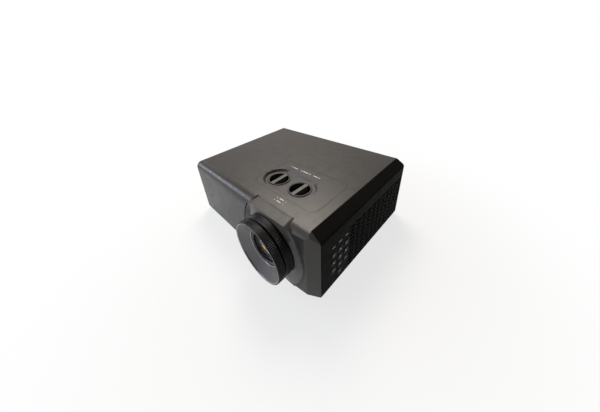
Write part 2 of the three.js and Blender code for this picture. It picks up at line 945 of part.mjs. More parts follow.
function mountFrame() {
  const travel = Math.hypot(travelHalfX, shiftDown / 2);
  const lipY = verticalPlateY + plateThickness + fit;
  const plate = alongY(
    rectangle(mountLeft, mountRight, insideFloor, mountTop, plateRound), frameY, frameY + plateThickness,
  );
  const hole = alongY(
    disc(travelX, travelZ, barrelTailRadius + travel + holeMargin, lensSteps),
    frameY - overrun,
    frameY + plateThickness + overrun,
  );
  const lipBack = lipY + railLipThickness;
  const railTop = mountTop - plateRound;
  const rail = (inner, outer, lip) => union(
    block(Math.min(inner, outer), Math.max(inner, outer), frameY, lipBack, insideFloor, railTop),
    block(Math.min(lip, outer), Math.max(lip, outer), lipY, lipBack, insideFloor, railTop),
  );
  const left = rail(mountLeft + railWidth, mountLeft, mountLeft + railWidth + railLip);
  const right = rail(mountRight - railWidth, mountRight, mountRight - railWidth - railLip);
  return union(cut(plate, hole), left, right);
}

function verticalCarriage() {
  const back = verticalPlateY + plateThickness;
  const low = lensZ - verticalPlateHalfHeight;
  const high = lensZ + verticalPlateHalfHeight;
  const plate = alongY(
    rectangle(verticalPlateLeft, verticalPlateRight, low, high, plateRound), verticalPlateY, back,
  );
  const hole = alongY(
    rectangle(
      travelX - travelHalfX - barrelTailRadius - holeMargin,
      travelX + travelHalfX + barrelTailRadius + holeMargin,
      lensZ - barrelTailRadius - holeMargin,
      lensZ + barrelTailRadius + holeMargin,
      barrelTailRadius,
      recessSteps,
    ),
    verticalPlateY - overrun,
    back + overrun,
  );
  const lipY = horizontalPlateY + plateThickness + fit;
  const left = travelX - travelHalfX - horizontalPlateHalfWidth + shiftRight;
  const right = travelX + travelHalfX + horizontalPlateHalfWidth - shiftRight;
  const lipBack = lipY + railLipThickness;
  const rail = (inner, outer, lip) => union(
    block(left, right, verticalPlateY, lipBack, Math.min(inner, outer), Math.max(inner, outer)),
    block(left, right, lipY, lipBack, Math.min(lip, outer), Math.max(lip, outer)),
  );
  const gap = horizontalPlateHalfHeight + fit;
  const top = rail(lensZ + gap, high, lensZ + gap - railLip);
  const bottom = rail(lensZ - gap, low, lensZ - gap + railLip);
  const armHalf = (nutArmRight - nutArmLeft) / 2;
  const arm = union(
    block(nutArmLeft, nutArmRight, verticalPlateY, dialY + armHalf, nutTop - nutHeight, nutTop),
    block(verticalDialX, nutArmRight, dialY - armHalf, dialY + armHalf, nutTop - nutHeight, nutTop),
  );
  const eye = alongZ(disc(verticalDialX, dialY, nutRadius), nutTop - nutHeight, nutTop);
  const bore = alongZ(
    disc(verticalDialX, dialY, screwRadius + fit, boreSteps), nutTop - nutHeight - overrun, nutTop + overrun,
  );
  return cut(union(cut(plate, hole), top, bottom, arm, eye), bore);
}

function horizontalCarriage() {
  const back = horizontalPlateY + plateThickness;
  const plate = alongY(
    centred(lensX, lensZ, 2 * horizontalPlateHalfWidth, 2 * horizontalPlateHalfHeight, plateRound),
    horizontalPlateY,
    back,
  );
  const hole = alongY(
    disc(lensX, lensZ, barrelTailRadius + fit, lensSteps), horizontalPlateY - overrun, back + overrun,
  );
  const pitchLine = dialY - pinionPitchRadius;
  const pitch = (2 * Math.PI * pinionPitchRadius) / pinionTeeth;
  const left = horizontalDialX - rackReach;
  const right = horizontalDialX + rackReach;
  const points = [
    new THREE.Vector2(left, horizontalPlateY),
    new THREE.Vector2(right, horizontalPlateY),
    new THREE.Vector2(right, pitchLine - toothDedendum),
  ];
  const teeth = Math.floor((rackReach - toothRootHalf) / pitch);
  for (let tooth = teeth; tooth >= -teeth; tooth -= 1) {
    points.push(...toothPoints((across, out) => new THREE.Vector2(
      horizontalDialX + tooth * pitch - across, pitchLine + out,
    )));
  }
  points.push(new THREE.Vector2(left, pitchLine - toothDedendum));
  return union(cut(plate, hole), alongZ(new THREE.Shape(points), rackBottom, rackTop));
}

// Lens

// A zigzag of ridges round the lens axis
function knurledOutline(radius) {
  const points = [];
  for (let k = 0; k < 2 * knurlCount; k += 1) {
    const angle = (Math.PI * k) / knurlCount;
    const r = k % 2 === 0 ? radius : radius - knurlDepth;
    points.push(new THREE.Vector2(lensX + r * Math.cos(angle), lensZ + r * Math.sin(angle)));
  }
  return new THREE.Shape(points);
}

// A ring turned with smooth lips, and a knurled band between them
function knurledRing(profile, radius, front, back) {
  const band = cut(
    alongY(knurledOutline(radius), front + knurlMargin, back - knurlMargin),
    alongY(disc(lensX, lensZ, radius - 3 * knurlDepth, lensSteps), front, back),
  );
  return union(turnedAlongY(profile, lensX, lensZ), band);
}

function focusRing() {
  const r = focusRingRadius - knurlDepth;
  const profile = [
    [throatRadius, throatY],
    [throatRadius, focusHubBack],
    [focusHubRadius, focusHubBack],
    [focusHubRadius, focusRingBack],
    [r - ringChamfer, focusRingBack],
    [r, focusRingBack - ringChamfer],
    [r, -hoodReach + ringChamfer],
    [r - ringChamfer / 2, -hoodReach],
    [r - hoodLip, -hoodReach],
  ];
  return knurledRing(profile, focusRingRadius, -hoodReach, focusRingBack);
}

function zoomRing() {
  const r = zoomRingRadius - knurlDepth;
  const bore = barrelRadius + fit;
  const profile = [
    [bore, zoomHubFront],
    [zoomLipRadius, zoomHubFront],
    [zoomLipRadius, zoomRingFront],
    [r - ringChamfer, zoomRingFront],
    [r, zoomRingFront + ringChamfer],
    [r, zoomRingBack - ringChamfer],
    [r - ringChamfer, zoomRingBack],
    [zoomSleeveRadius, zoomRingBack],
    [zoomSleeveRadius, zoomSleeveBack],
    [bore, zoomSleeveBack],
  ];
  return knurledRing(profile, zoomRingRadius, zoomRingFront, zoomRingBack);
}

const noseRadius = throatRadius - fit;
const noseY = throatY + fit;
const shoulderY = focusHubBack + fit;
const cellFloorY = noseY + frontCellDepth;
const flangeY = horizontalPlateY + plateThickness + fit;

function lensBarrel() {
  return turnedAlongY([
    [noseRadius, noseY],
    [noseRadius, shoulderY],
    [barrelRadius, shoulderY],
    [barrelRadius, barrelShoulderY],
    [barrelTailRadius, barrelShoulderY],
    [barrelTailRadius, flangeY],
    [barrelFlangeRadius, flangeY],
    [barrelFlangeRadius, flangeY + plateThickness],
    [barrelTailRadius, flangeY + plateThickness],
    [barrelTailRadius, barrelTailY],
    [barrelBore, barrelTailY],
    [barrelBore, cellFloorY],
    [frontCellRadius, cellFloorY],
    [frontCellRadius, noseY],
  ], lensX, lensZ);
}

function retainingRing() {
  const outer = frontCellRadius - fit;
  const inner = outer - retainingWidth;
  return turnedAlongY([
    [outer, noseY],
    [outer, noseY + retainingThickness],
    [inner, noseY + retainingThickness],
    [inner, noseY + retainingThickness / 2],
    [inner + retainingThickness / 2, noseY],
  ], lensX, lensZ);
}

// A lens element: a flat seat round a bulging front, and a flatter back
function lensElement(radius, seat, edgeFront, edgeBack, frontSag, backSag, steps) {
  const clear = radius - seat;
  const bulge = (share) => 1 - share * share;
  const shares = Array.from({ length: lensRings + 1 }, (_, k) => k / lensRings);
  return turnedAlongY([
    ...shares.map((share) => [clear * share, edgeFront - frontSag * bulge(share)]),
    [radius, edgeFront],
    [radius, edgeBack],
    ...shares.reverse().map((share) => [clear * share, edgeBack + backSag * bulge(share)]),
  ], lensX, lensZ, steps);
}

function frontLens() {
  const front = noseY + retainingThickness + fit;
  const seat = retainingWidth + fit;
  return lensElement(
    frontCellRadius - fit, seat, front, front + frontLensThickness, frontLensSag, frontLensHollow,
    lensSteps,
  );
}

function rearLens() {
  const back = barrelTailY - rearLensLip;
  return lensElement(
    barrelBore - fit, rearLensLip, back - rearLensThickness, back, rearLensSag, rearLensHollow, roundSteps,
  );
}

// Side details

function keyCap([y, z]) {
  const seat = halfWidth - wall - fit;
  const cap = alongX(
    centred(y, z, keyWidth, keyHeight, keyRound, keySteps), seat - keyFlangeThickness, halfWidth + keyProud,
  );
  const flange = alongX(
    centred(y, z, keyWidth + 2 * keyFlange, keyHeight + 2 * keyFlange, keyRound, keySteps),
    seat - keyFlangeThickness,
    seat,
  );
  return union(cap, flange);
}

const keyBack = halfWidth - wall - fit - keyFlangeThickness;
const keyBoardFront = keyBack - keyTravel - fit - domeHeight;

function keypadBoard() {
  const margin = keyPitchY / 2;
  const right = keyFirstY + (keyColumns - 1) * keyPitchY + margin;
  const board = alongX(
    rectangle(keyFirstY - margin, right, insideFloor, indicatorZ + margin),
    keyBoardFront - boardThickness,
    keyBoardFront,
  );
  const domes = keyPlaces().map(([y, z]) => alongX(
    disc(y, z, domeRadius, domeSteps), keyBoardFront - boardThickness / 2, keyBoardFront + domeHeight,
  ));
  return union(board, ...domes);
}

function indicator([y, z]) {
  return alongX(
    centred(y, z, indicatorWidth, indicatorHeight), keyBoardFront + fit, halfWidth + indicatorProud,
  );
}

// Air filter: a frame with a pleated medium across
function airFilter() {
  const right = halfWidth - wall - fit;
  const left = right - filterDepth;
  const front = slotFirstY - filterMargin;
  const back = rearPanelFront - fit;
  const frame = cut(
    alongX(rectangle(front, back, insideFloor, filterTop), left, right),
    alongX(
      rectangle(front + filterFrame, back - filterFrame, insideFloor + filterFrame, filterTop - filterFrame),
      left - overrun,
      right + overrun,
    ),
  );
  const pitch = (back - front - filterFrame) / filterPleats;
  const zigzag = (x) => Array.from({ length: filterPleats + 1 }, (_, k) => new THREE.Vector2(
    x + (k % 2 === 0 ? 0 : filterDepth / 2), front + filterFrame / 2 + k * pitch,
  ));
  const shape = new THREE.Shape([...zigzag(left + filterSheet), ...zigzag(left).reverse()]);
  return union(frame, alongZ(shape, insideFloor + filterFrame / 2, filterTop - filterFrame / 2));
}

// Exhaust grille: a flush plate with sloped louvres, held by a flange behind the wall
function exhaustGrille() {
  const outside = -halfWidth;
  const inside = -halfWidth + wall;
  const plate = alongX(
    rectangle(exhaustFront + fit, exhaustBack - fit, exhaustBottom + fit, exhaustTop - fit, exhaustRound),
    outside,
    inside + fit + grilleFlangeThickness / 2,
  );
  const flange = alongX(
    rectangle(
      exhaustFront - grilleFlange, exhaustBack + grilleFlange, exhaustBottom - grilleFlange,
      exhaustTop + grilleFlange, exhaustRound,
    ),
    inside + fit,
    inside + fit + grilleFlangeThickness,
  );
  const usable = exhaustTop - exhaustBottom - 2 * louvreMargin;
  const pitch = usable / louvreCount;
  const slots = Array.from({ length: louvreCount }, (_, k) => {
    const z = exhaustBottom + louvreMargin + (k + 1 / 2) * pitch;
    const rise = louvreHeight / 2;
    const depth = wall + grilleFlangeThickness + overrun;
    const shape = new THREE.Shape([
      new THREE.Vector2(outside - overrun, z - rise - overrun / 2),
      new THREE.Vector2(outside + depth, z - rise + depth / 2),
      new THREE.Vector2(outside + depth, z + rise + depth / 2),
      new THREE.Vector2(outside - overrun, z + rise - overrun / 2),
    ]);
    return alongY(shape, exhaustFront + louvreMargin, exhaustBack - louvreMargin);
  });
  return cut(union(plate, flange), union(...slots));
}

// Fans, each with its axis along x; out is +1 when the struts face right, -1 when they face left

function fanFrame(y, low, left, out) {
  const z = low + fanSize / 2;
  const right = left + fanDepth;
  const strutLeft = out > 0 ? right - fanStrutThickness : left;
  const frame = cut(
    alongX(centred(y, z, fanSize, fanSize, fanRound, cornerSteps), left, right),
    alongX(disc(y, z, fanHole, fanSteps), left - overrun, right + overrun),
  );
  const motor = alongX(disc(y, z, fanMotorRadius), strutLeft, strutLeft + fanStrutThickness);
  const across = alongX(
    centred(y, z, 2 * fanHole + fanStrutThickness, fanStrutWidth), strutLeft, strutLeft + fanStrutThickness,
  );
  const upright = alongX(
    centred(y, z, fanStrutWidth, 2 * fanHole + fanStrutThickness), strutLeft, strutLeft + fanStrutThickness,
  );
  const pinReach = fanStrutThickness + rotorDepth / 2;
  const pinLeft = out > 0 ? right - pinReach : left;
  const pin = alongX(disc(y, z, fanPinRadius, boreSteps), pinLeft, pinLeft + pinReach);
  return union(frame, motor, across, upright, pin);
}

function fanRotor(y, low, left, out) {
  const z = low + fanSize / 2;
  const clear = fanStrutThickness + fit;
  const start = out > 0 ? left + fanDepth - clear - rotorDepth : left + clear;
  const hub = alongX(disc(y, z, rotorHubRadius), start, start + rotorDepth);
  const blades = Array.from({ length: rotorBlades }, (_, k) => {
    const length = rotorRadius - rotorHubRadius / 2;
    const geometry = new THREE.BoxGeometry(bladeChord, length, bladeThickness);
    geometry.rotateY(bladePitch * out);
    geometry.translate(0, (rotorRadius + rotorHubRadius / 2) / 2, 0);
    geometry.rotateX((2 * Math.PI * k) / rotorBlades);
    geometry.translate(start + rotorDepth / 2, y, z);
    return solid(geometry);
  });
  const boreLeft = out > 0 ? start + rotorDepth / 2 - fit : start - overrun;
  const bore = alongX(
    disc(y, z, fanPinRadius + fit, boreSteps), boreLeft, boreLeft + rotorDepth / 2 + fit + overrun,
  );
  return cut(union(hub, ...blades), bore);
}

// Upper shell: top, front, left wall and the front right corner

function upperShell() {
  const panelHole = alongZ(
    rectangle(panelLeft - fit, panelRight + fit, panelFront - fit, panelBack + fit, panelRound + fit),
    caseHeight - 2 * wall,
    caseHeight + overrun,
  );
  const exhaust = alongX(
    rectangle(exhaustFront, exhaustBack, exhaustBottom, exhaustTop, exhaustRound),
    -halfWidth - overrun,
    -halfWidth + 2 * wall,
  );
  const window = alongY(disc(windowX, windowZ, windowRadius + fit, boreSteps), -overrun, 2 * wall);
  return cut(skin, sideCoverRegion(0, -overrun), surroundHole(fit), panelHole, exhaust, window);
}

function remoteWindow() {
  const plug = alongY(disc(windowX, windowZ, windowRadius, boreSteps), fit, wall + fit + windowFlange / 2);
  const flange = alongY(
    disc(windowX, windowZ, windowRadius + windowFlange, boreSteps), wall + fit, wall + fit + windowFlange,
  );
  return union(plug, flange);
}

// Bottom tray with bosses for the feet and ribs beside the fans

function footPlaces() {
  return [
    ["front_left_foot", -footX, frontFootY, true],
    ["front_right_foot", footX, frontFootY, true],
    ["rear_left_foot", -footX, rearFootY, false],
    ["rear_right_foot", footX, rearFootY, false],
  ];
}

function bottomTray() {
  const plan = roundedShape(insetCorners(planCorners, wall + fit));
  const plate = alongZ(plan, 0, wall);
  const bosses = footPlaces().map(([, x, y, adjusts]) => alongZ(
    disc(x, y, footBossRadius), 0, adjusts ? footBossHeight : footBossHeight / 2,
  ));
  const pad = alongZ(
    centred(0, bracketPadY, bracketPadWidth, bracketPadDepth, bracketPadRound), -bracketPadRise, wall / 2,
  );
  const bores = footPlaces().map(([, x, y]) => alongZ(
    disc(x, y, footStudRadius + fit, boreSteps), -overrun, footBossHeight + overrun,
  ));
  const vents = [];
  for (let column = 0; column < trayVentColumns; column += 1) {
    for (let row = 0; row < trayVentRows; row += 1) {
      const x = trayVentX + column * trayVentPitchX;
      const y = trayVentY + row * trayVentPitchY;
      vents.push(alongZ(centred(x, y, trayVentLength, trayVentWidth), -overrun, wall + overrun));
    }
  }
  return cut(union(plate, pad, ...bosses), ...bores, surroundHole(fit), union(...vents));
}

function foot([, x, y, adjusts]) {
  const reach = adjusts ? footStudReach : footBossHeight / 2 - fit;
  return turnedAlongZ([
    [0, -footHeight],
    [footRadius - ringChamfer, -footHeight],
    [footRadius, -footHeight + ringChamfer],
    [footRadius, -footHeight + footPadHeight],
    [footRadius - ringChamfer, -fit],
    [footStudRadius, -fit],
    [footStudRadius, reach],
    [0, reach],
  ], x, y, roundSteps);
}

// Rear panel, sockets and board

const rearPanelBack = caseDepth - rearRecess;
const rearPanelFront = rearPanelBack - wall;
const boardBack = rearPanelFront - socketDepth;
const socketFront = boardBack + fit;
const socketBack = rearPanelBack + socketReach;

// Each socket is an outline in (x, z); grow widens it for the hole that it stands in
function dShape(x, z, width, height, grow) {
  const slant = width * vgaSlantShare;
  return roundedShape([
    [x - width / 2 + slant - grow, z - height / 2 - grow, 0],
    [x + width / 2 - slant + grow, z - height / 2 - grow, 0],
    [x + width / 2 + grow, z + height / 2 + grow, 0],
    [x - width / 2 - grow, z + height / 2 + grow, 0],
  ]);
}

function hdmiShape(x, z, grow) {
  const [w, h] = [hdmiWidth / 2 + grow, hdmiHeight / 2 + grow];
  const chamfer = hdmiHeight * hdmiChamferShare;
  return roundedShape([
    [x - w + chamfer, z - h, 0],
    [x + w - chamfer, z - h, 0],
    [x + w, z - h + chamfer, 0],
    [x + w, z + h, 0],
    [x - w, z + h, 0],
    [x - w, z - h + chamfer, 0],
  ]);
}

function boxShape(x, z, width, height, grow) {
  return centred(x, z, width + 2 * grow, height + 2 * grow);
}

const hdmiX = halfWidth * hdmiXShare;
const vgaX = halfWidth * vgaXShare;
const serialX = halfWidth * serialXShare;
const lanX = halfWidth * lanXShare;
const usbX = halfWidth * usbXShare;
const jackX = halfWidth * jackXShare;
const videoX = halfWidth * videoXShare;

function jackShape(x, radius) {
  return disc(x, lowerRowZ, radius, boreSteps);
}

// Name, outline and thickness of the shell round it
const sockets = [
  ["hdmi_socket_1", (grow) => hdmiShape(hdmiX, upperRowZ, grow), socketWall],
  ["hdmi_socket_2", (grow) => hdmiShape(hdmiX + hdmiPitch, upperRowZ, grow), socketWall],
  ["computer_socket", (grow) => dShape(vgaX, upperRowZ, vgaWidth, vgaHeight, grow), socketWall],
  ["serial_socket", (grow) => dShape(serialX, upperRowZ, serialWidth, vgaHeight, grow), socketWall],
  ["network_socket", (grow) => boxShape(lanX, lowerRowZ, lanWidth, lanHeight, grow), socketWall],
  ["usb_socket", (grow) => boxShape(usbX, lowerRowZ, usbWidth, usbHeight, grow), socketWall],
  ["audio_in_jack", (grow) => jackShape(jackX, jackBore + grow), jackRadius - jackBore],
  ["audio_out_jack", (grow) => jackShape(jackX + jackPitch, jackBore + grow), jackRadius - jackBore],
  ["video_jack", (grow) => jackShape(videoX, videoBore + grow), videoRadius - videoBore],
];

function socketSolid([, outline, thick]) {
  const shell = alongY(outline(thick), socketFront, socketBack);
  const mouth = alongY(outline(0), socketFront + socketWall, socketBack + overrun);
  return cut(shell, mouth);
}

function socketHole([, outline, thick]) {
  return alongY(outline(thick + fit), rearPanelFront - overrun, rearPanelBack + overrun);
}

function inletShape(grow) {
  return centred(inletX, inletZ, inletWidth + 2 * grow, inletHeight + 2 * grow, inletMargin, cornerSteps);
}

function switchShape(grow) {
  return centred(switchX, inletZ, switchWidth + 2 * grow, switchHeight + 2 * grow);
}

function powerInlet() {
  const front = rearPanelBack - inletDepth;
  const body = alongY(inletShape(inletMargin), front, rearPanelBack - fit);
  const mouth = alongY(inletShape(0), front + inletMargin, rearPanelBack + overrun);
  const blade = (x, z) => alongY(
    centred(x, z, inletBladeThickness, inletBladeWidth), front + inletMargin / 2, front + inletBladeReach,
  );
  return union(
    cut(body, mouth),
    blade(inletX - inletBladePitch, inletZ),
    blade(inletX + inletBladePitch, inletZ),
    blade(inletX, inletZ + inletBladeWidth),
  );
}

const rockerY = rearPanelBack - socketReach;

function switchHousing() {
  const front = rearPanelBack - switchDepth;
  const body = alongY(switchShape(switchMargin), front, rearPanelBack - fit);
  const mouth = alongY(switchShape(0), front + switchMargin, rearPanelBack + overrun);
  const pins = alongX(
    disc(rockerY, inletZ, rockerPin + fit, boreSteps),
    switchX - switchWidth / 2 - switchMargin / 2,
    switchX + switchWidth / 2 + switchMargin / 2,
  );
  return cut(body, mouth, pins);
}

// The rocker: a shallow V on its pivot, drawn with its lower half pressed in
function rocker() {
  const half = switchHeight / 2 - rockerClearance;
  const swing = THREE.MathUtils.degToRad(rockerSwing / 2);
  const rise = half * Math.tan(swing);
  const shape = new THREE.Shape([
    new THREE.Vector2(-2 * rockerPin, 0),
    new THREE.Vector2(-rockerPin, -half),
    new THREE.Vector2(rise, -half),
    new THREE.Vector2(rockerPin, 0),
    new THREE.Vector2(rise, half),
    new THREE.Vector2(-rockerPin, half),
  ]);
  const body = alongX(shape, -switchWidth / 2 + fit, switchWidth / 2 - fit);
  const pinHalf = (switchWidth + switchMargin) / 2 - fit;
  const pin = alongX(disc(0, 0, rockerPin, boreSteps), -pinHalf, pinHalf);
  return union(body, pin).rotate([rockerSwing / 2, 0, 0]).translate([switchX, rockerY, inletZ]);
}

function rearPanel() {
  const outline = insetCorners(frontCorners, wall + fit);
  outline[0] = [outline[0][0], insideFloor, 0];
  outline[1] = [outline[1][0], insideFloor, 0];
  const plate = alongY(roundedShape(outline), rearPanelFront, rearPanelBack);
  const through = (shape) => alongY(shape, rearPanelFront - overrun, rearPanelBack + overrun);
  const slots = Array.from({ length: speakerSlotCount }, (_, k) => {
    const z = speakerZ + (k - (speakerSlotCount - 1) / 2) * speakerSlotPitch;
    return through(centred(
      speakerX, z, speakerSlotLength, speakerSlotHeight, speakerSlotHeight / 2, cornerSteps,
    ));
  });
  return cut(
    plate,
    union(...sockets.map(socketHole)),
    through(inletShape(inletMargin + fit)),
    through(switchShape(switchMargin + fit)),
    union(...slots),
  );
}

function mainBoard() {
  const plate = alongY(
    rectangle(mainBoardLeft, mainBoardRight, insideFloor, mainBoardTop),
    boardBack - boardThickness,
    boardBack,
  );
  return cut(plate, alongY(switchShape(switchMargin + fit), boardBack - 2 * overrun, boardBack + overrun));
}

function speaker() {
  const back = rearPanelFront - fit;
  const front = back - speakerDepth;
  return turnedAlongY([
    [0, front],
    [speakerRadius / 2, front],
    [speakerRadius / 2, front + speakerDepth / 2],
    [speakerRadius - speakerFlange, back - speakerFlange],
    [speakerRadius, back - speakerFlange],
    [speakerRadius, back],
    [speakerRadius - speakerFlange, back],
    [speakerRadius / 3, back - speakerDepth / 3],
    [0, back - speakerDepth / 3],
  ], speakerX, speakerZ, roundSteps);
}

// Optical engine, prism, lamp and power supply

function opticalEngine() {
  const shape = roundedShape([
    [engineLeft, engineFront, engineRound],
    [engineRight, engineFront, engineRound],
    [engineRight, engineBack, engineRound],
    [ductLeft, engineBack, engineRound],
    [ductLeft, engineMiddle, engineRound],
    [engineLeft, engineMiddle, engineRound],
  ]);
  const pocket = block(
    travelX - enginePocket / 2, travelX + enginePocket / 2, engineFront - overrun,
    engineFront + enginePocketDepth, travelZ - enginePocket / 2, travelZ + enginePocket / 2,
  );
  return cut(alongZ(shape, insideFloor, engineTop), pocket);
}

function prismBlock() {
  const low = travelZ - enginePocket / 2 + fit;
  const front = engineFront + enginePocketDepth - prismSize - fit;
  return alongZ(
    roundedShape([
      [travelX - prismSize / 2, front, prismChamfer],
      [travelX + prismSize / 2, front, prismChamfer],
      [travelX + prismSize / 2, front + prismSize, prismChamfer],
      [travelX - prismSize / 2, front + prismSize, prismChamfer],
    ], 1),
    low,
    low + prismSize,
  );
}

// A finned block: a base with a row of upright fins along x
function finnedBlock(left, right, front, back, top) {
  const round = engineRound;
  const base = alongZ(rectangle(left, right, front, back, round, cornerSteps), insideFloor, top - finHeight);
  const pitch = (right - left - 2 * round) / finCount;
  const fins = Array.from({ length: finCount }, (_, k) => {
    const x = left + round + (k + 1 / 2) * pitch;
    const root = top - finHeight - finThickness;
    return block(x - finThickness / 2, x + finThickness / 2, front + round, back - round, root, top);
  });
  return union(base, ...fins);
}

const intakeFanLeft = halfWidth - wall - fit - filterDepth - fit - fanDepth;
const exhaustFanLeft = -halfWidth + wall + fit + grilleFlangeThickness + fit;

// Assembly

addPiece("upper_shell", upperShell(), "charcoal");
addPiece("right_side_cover", sideCover(), "black");
addPiece("bottom_tray", bottomTray(), "black");
addPiece("rear_panel", rearPanel(), "black");
addPiece("lens_surround", lensSurround(), "charcoal");
addPiece("exhaust_grille", exhaustGrille(), "black");
addPiece("remote_window", remoteWindow(), "black");
addPiece("shift_panel", shiftPanel(), "charcoal");
addPiece("vertical_shift_dial", verticalDial(), "grey");
addPiece("horizontal_shift_dial", horizontalDial(), "grey");
addPiece("lens_mount_frame", mountFrame(), "steel");
addPiece("vertical_carriage", verticalCarriage(), "steel");
addPiece("horizontal_carriage", horizontalCarriage(), "steel");
addPiece("lens_barrel", lensBarrel(), "black");
addPiece("zoom_ring", zoomRing(), "knurl");
addPiece("focus_ring", focusRing(), "knurl");
addPiece("retaining_ring", retainingRing(), "black");
addPiece("front_lens", frontLens(), "glass");
addPiece("rear_lens", rearLens(), "glass");
addPiece("optical_engine", opticalEngine(), "grey");
addPiece("prism_block", prismBlock(), "glass");
addPiece("lamp_module", finnedBlock(lampLeft, lampRight, lampFront, lampBack, lampTop), "grey");
addPiece("power_supply", finnedBlock(supplyLeft, supplyRight, supplyFront, supplyBack, supplyTop), "steel");
addPiece("main_board", mainBoard(), "board");
addPiece("keypad_board", keypadBoard(), "board");
addPiece("air_filter", airFilter(), "black");
addPiece("intake_fan_frame", fanFrame(intakeFanY, insideFloor, intakeFanLeft, -1), "black");
addPiece("intake_fan_rotor", fanRotor(intakeFanY, insideFloor, intakeFanLeft, -1), "black");
addPiece("exhaust_fan_frame", fanFrame(exhaustFanY, insideFloor, exhaustFanLeft, 1), "black");
addPiece("exhaust_fan_rotor", fanRotor(exhaustFanY, insideFloor, exhaustFanLeft, 1), "black");
addPiece("speaker", speaker(), "black");
keyPlaces().forEach((place, i) => addPiece(`key_${i + 1}`, keyCap(place), "black"));
indicatorPlaces().forEach((place, i) => addPiece(`indicator_${i + 1}`, indicator(place), "light"));
footPlaces().forEach((place) => addPiece(place[0], foot(place), "rubber"));
addPiece("power_inlet", powerInlet(), "black");
addPiece("switch_housing", switchHousing(), "black");
addPiece("power_rocker", rocker(), "black");
sockets.forEach((socket) => addPiece(socket[0], socketSolid(socket), "steel"));

export default projector;
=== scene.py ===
"""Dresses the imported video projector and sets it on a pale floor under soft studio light.

Lengths in this file are millimetres in the case's own frame: x = 0 is the middle of the body's
width, y = 0 its front wall and z = 0 its underside. ``place`` turns them to the row frame in metres.
"""

from __future__ import annotations

import json
import logging
import math
from dataclasses import dataclass, field
from enum import Enum
from typing import Callable, Iterable, Sequence

import bmesh
import bpy
from mathutils import Matrix, Vector

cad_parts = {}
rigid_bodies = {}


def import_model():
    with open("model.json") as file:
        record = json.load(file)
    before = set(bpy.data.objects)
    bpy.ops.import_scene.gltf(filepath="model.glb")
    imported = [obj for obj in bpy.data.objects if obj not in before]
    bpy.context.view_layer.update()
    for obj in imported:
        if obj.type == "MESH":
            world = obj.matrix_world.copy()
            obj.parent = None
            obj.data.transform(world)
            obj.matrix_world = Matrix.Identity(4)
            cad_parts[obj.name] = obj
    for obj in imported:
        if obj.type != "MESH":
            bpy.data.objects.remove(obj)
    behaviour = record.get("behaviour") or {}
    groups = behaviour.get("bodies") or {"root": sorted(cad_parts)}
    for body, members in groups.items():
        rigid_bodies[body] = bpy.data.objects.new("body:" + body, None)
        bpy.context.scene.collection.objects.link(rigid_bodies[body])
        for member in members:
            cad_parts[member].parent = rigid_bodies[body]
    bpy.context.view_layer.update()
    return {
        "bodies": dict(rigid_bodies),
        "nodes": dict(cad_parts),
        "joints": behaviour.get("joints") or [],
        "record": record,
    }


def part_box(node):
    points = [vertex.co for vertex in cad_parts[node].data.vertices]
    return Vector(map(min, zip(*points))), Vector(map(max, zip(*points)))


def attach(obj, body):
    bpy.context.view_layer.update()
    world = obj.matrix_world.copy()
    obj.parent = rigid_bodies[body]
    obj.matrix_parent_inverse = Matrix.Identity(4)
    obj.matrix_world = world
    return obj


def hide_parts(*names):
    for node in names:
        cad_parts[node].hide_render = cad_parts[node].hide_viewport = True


LOG = logging.getLogger("projector")

MM = 0.001
CASE_TO_ROW = Vector((-0.4, -151.5, 8.0))
TOP_Z = 155.0
REAR_Y = 339.0
# Corners nearer than this are one corner
MERGE_MM = 0.002
# Edges sharper than this many degrees are rounded
SHARP_DEGREES = 32.0
# A printed mark starts this far under its surface and stands this far proud of it
PRINT_SUNK = 0.05
PRINT_PROUD = 0.06

Outline = list[tuple[float, float]]
Loop = list[Vector]


def place(x: float, y: float, z: float) -> Vector:
    """Turns a point of the case's frame in millimetres to the row frame in metres."""
    return (Vector((x, y, z)) + CASE_TO_ROW) * MM


@dataclass(frozen=True)
class Span:
    """A CAD node's box in the case's frame, in millimetres.

    Attributes:
        low: Its lowest corner.
        high: Its highest corner.
    """

    low: Vector
    high: Vector

    @staticmethod
    def of(node: str) -> Span:
        """Reads a node's box from the frame."""
        low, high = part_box(node)
        return Span(Vector(low) / MM - CASE_TO_ROW, Vector(high) / MM - CASE_TO_ROW)

    @property
    def middle(self) -> Vector:
        """The middle of the box."""
        return (self.low + self.high) / 2

    @property
    def seat(self) -> Vector:
        """The middle of the box, to the tenth of a millimetre that the part's places are set in."""
        return Vector([round(v, 1) for v in self.middle])

    @property
    def half(self) -> Vector:
        """Half the box's size along each axis."""
        return (self.high - self.low) / 2


def lens_axis() -> tuple[float, float]:
    """Gives the x and z of the lens axis, from the ring that turns on it."""
    middle = Span.of("focus_ring").middle
    return (middle.x, middle.z)


def smooth_step(share: float) -> float:
    """Runs softly from 0 to 1 as the share does, and stays there beyond."""
    held = min(max(share, 0.0), 1.0)
    return held * held * (3 - 2 * held)


class Plane(Enum):
    """The plane that an outline is drawn in; its depth runs along the third axis."""

    TOP = "xy"
    FRONT = "xz"
    SIDE = "yz"

    def point(self, a: float, b: float, depth: float) -> Vector:
        """Gives the row-frame point of (a, b) in this plane at a depth along its normal.

        Args:
            a: First coordinate in millimetres.
            b: Second coordinate in millimetres.
            depth: Place along the normal in millimetres.

        Returns:
            The point in metres.
        """
        if self is Plane.TOP:
            return place(a, b, depth)
        if self is Plane.FRONT:
            return place(a, depth, b)
        return place(depth, a, b)


# Outlines


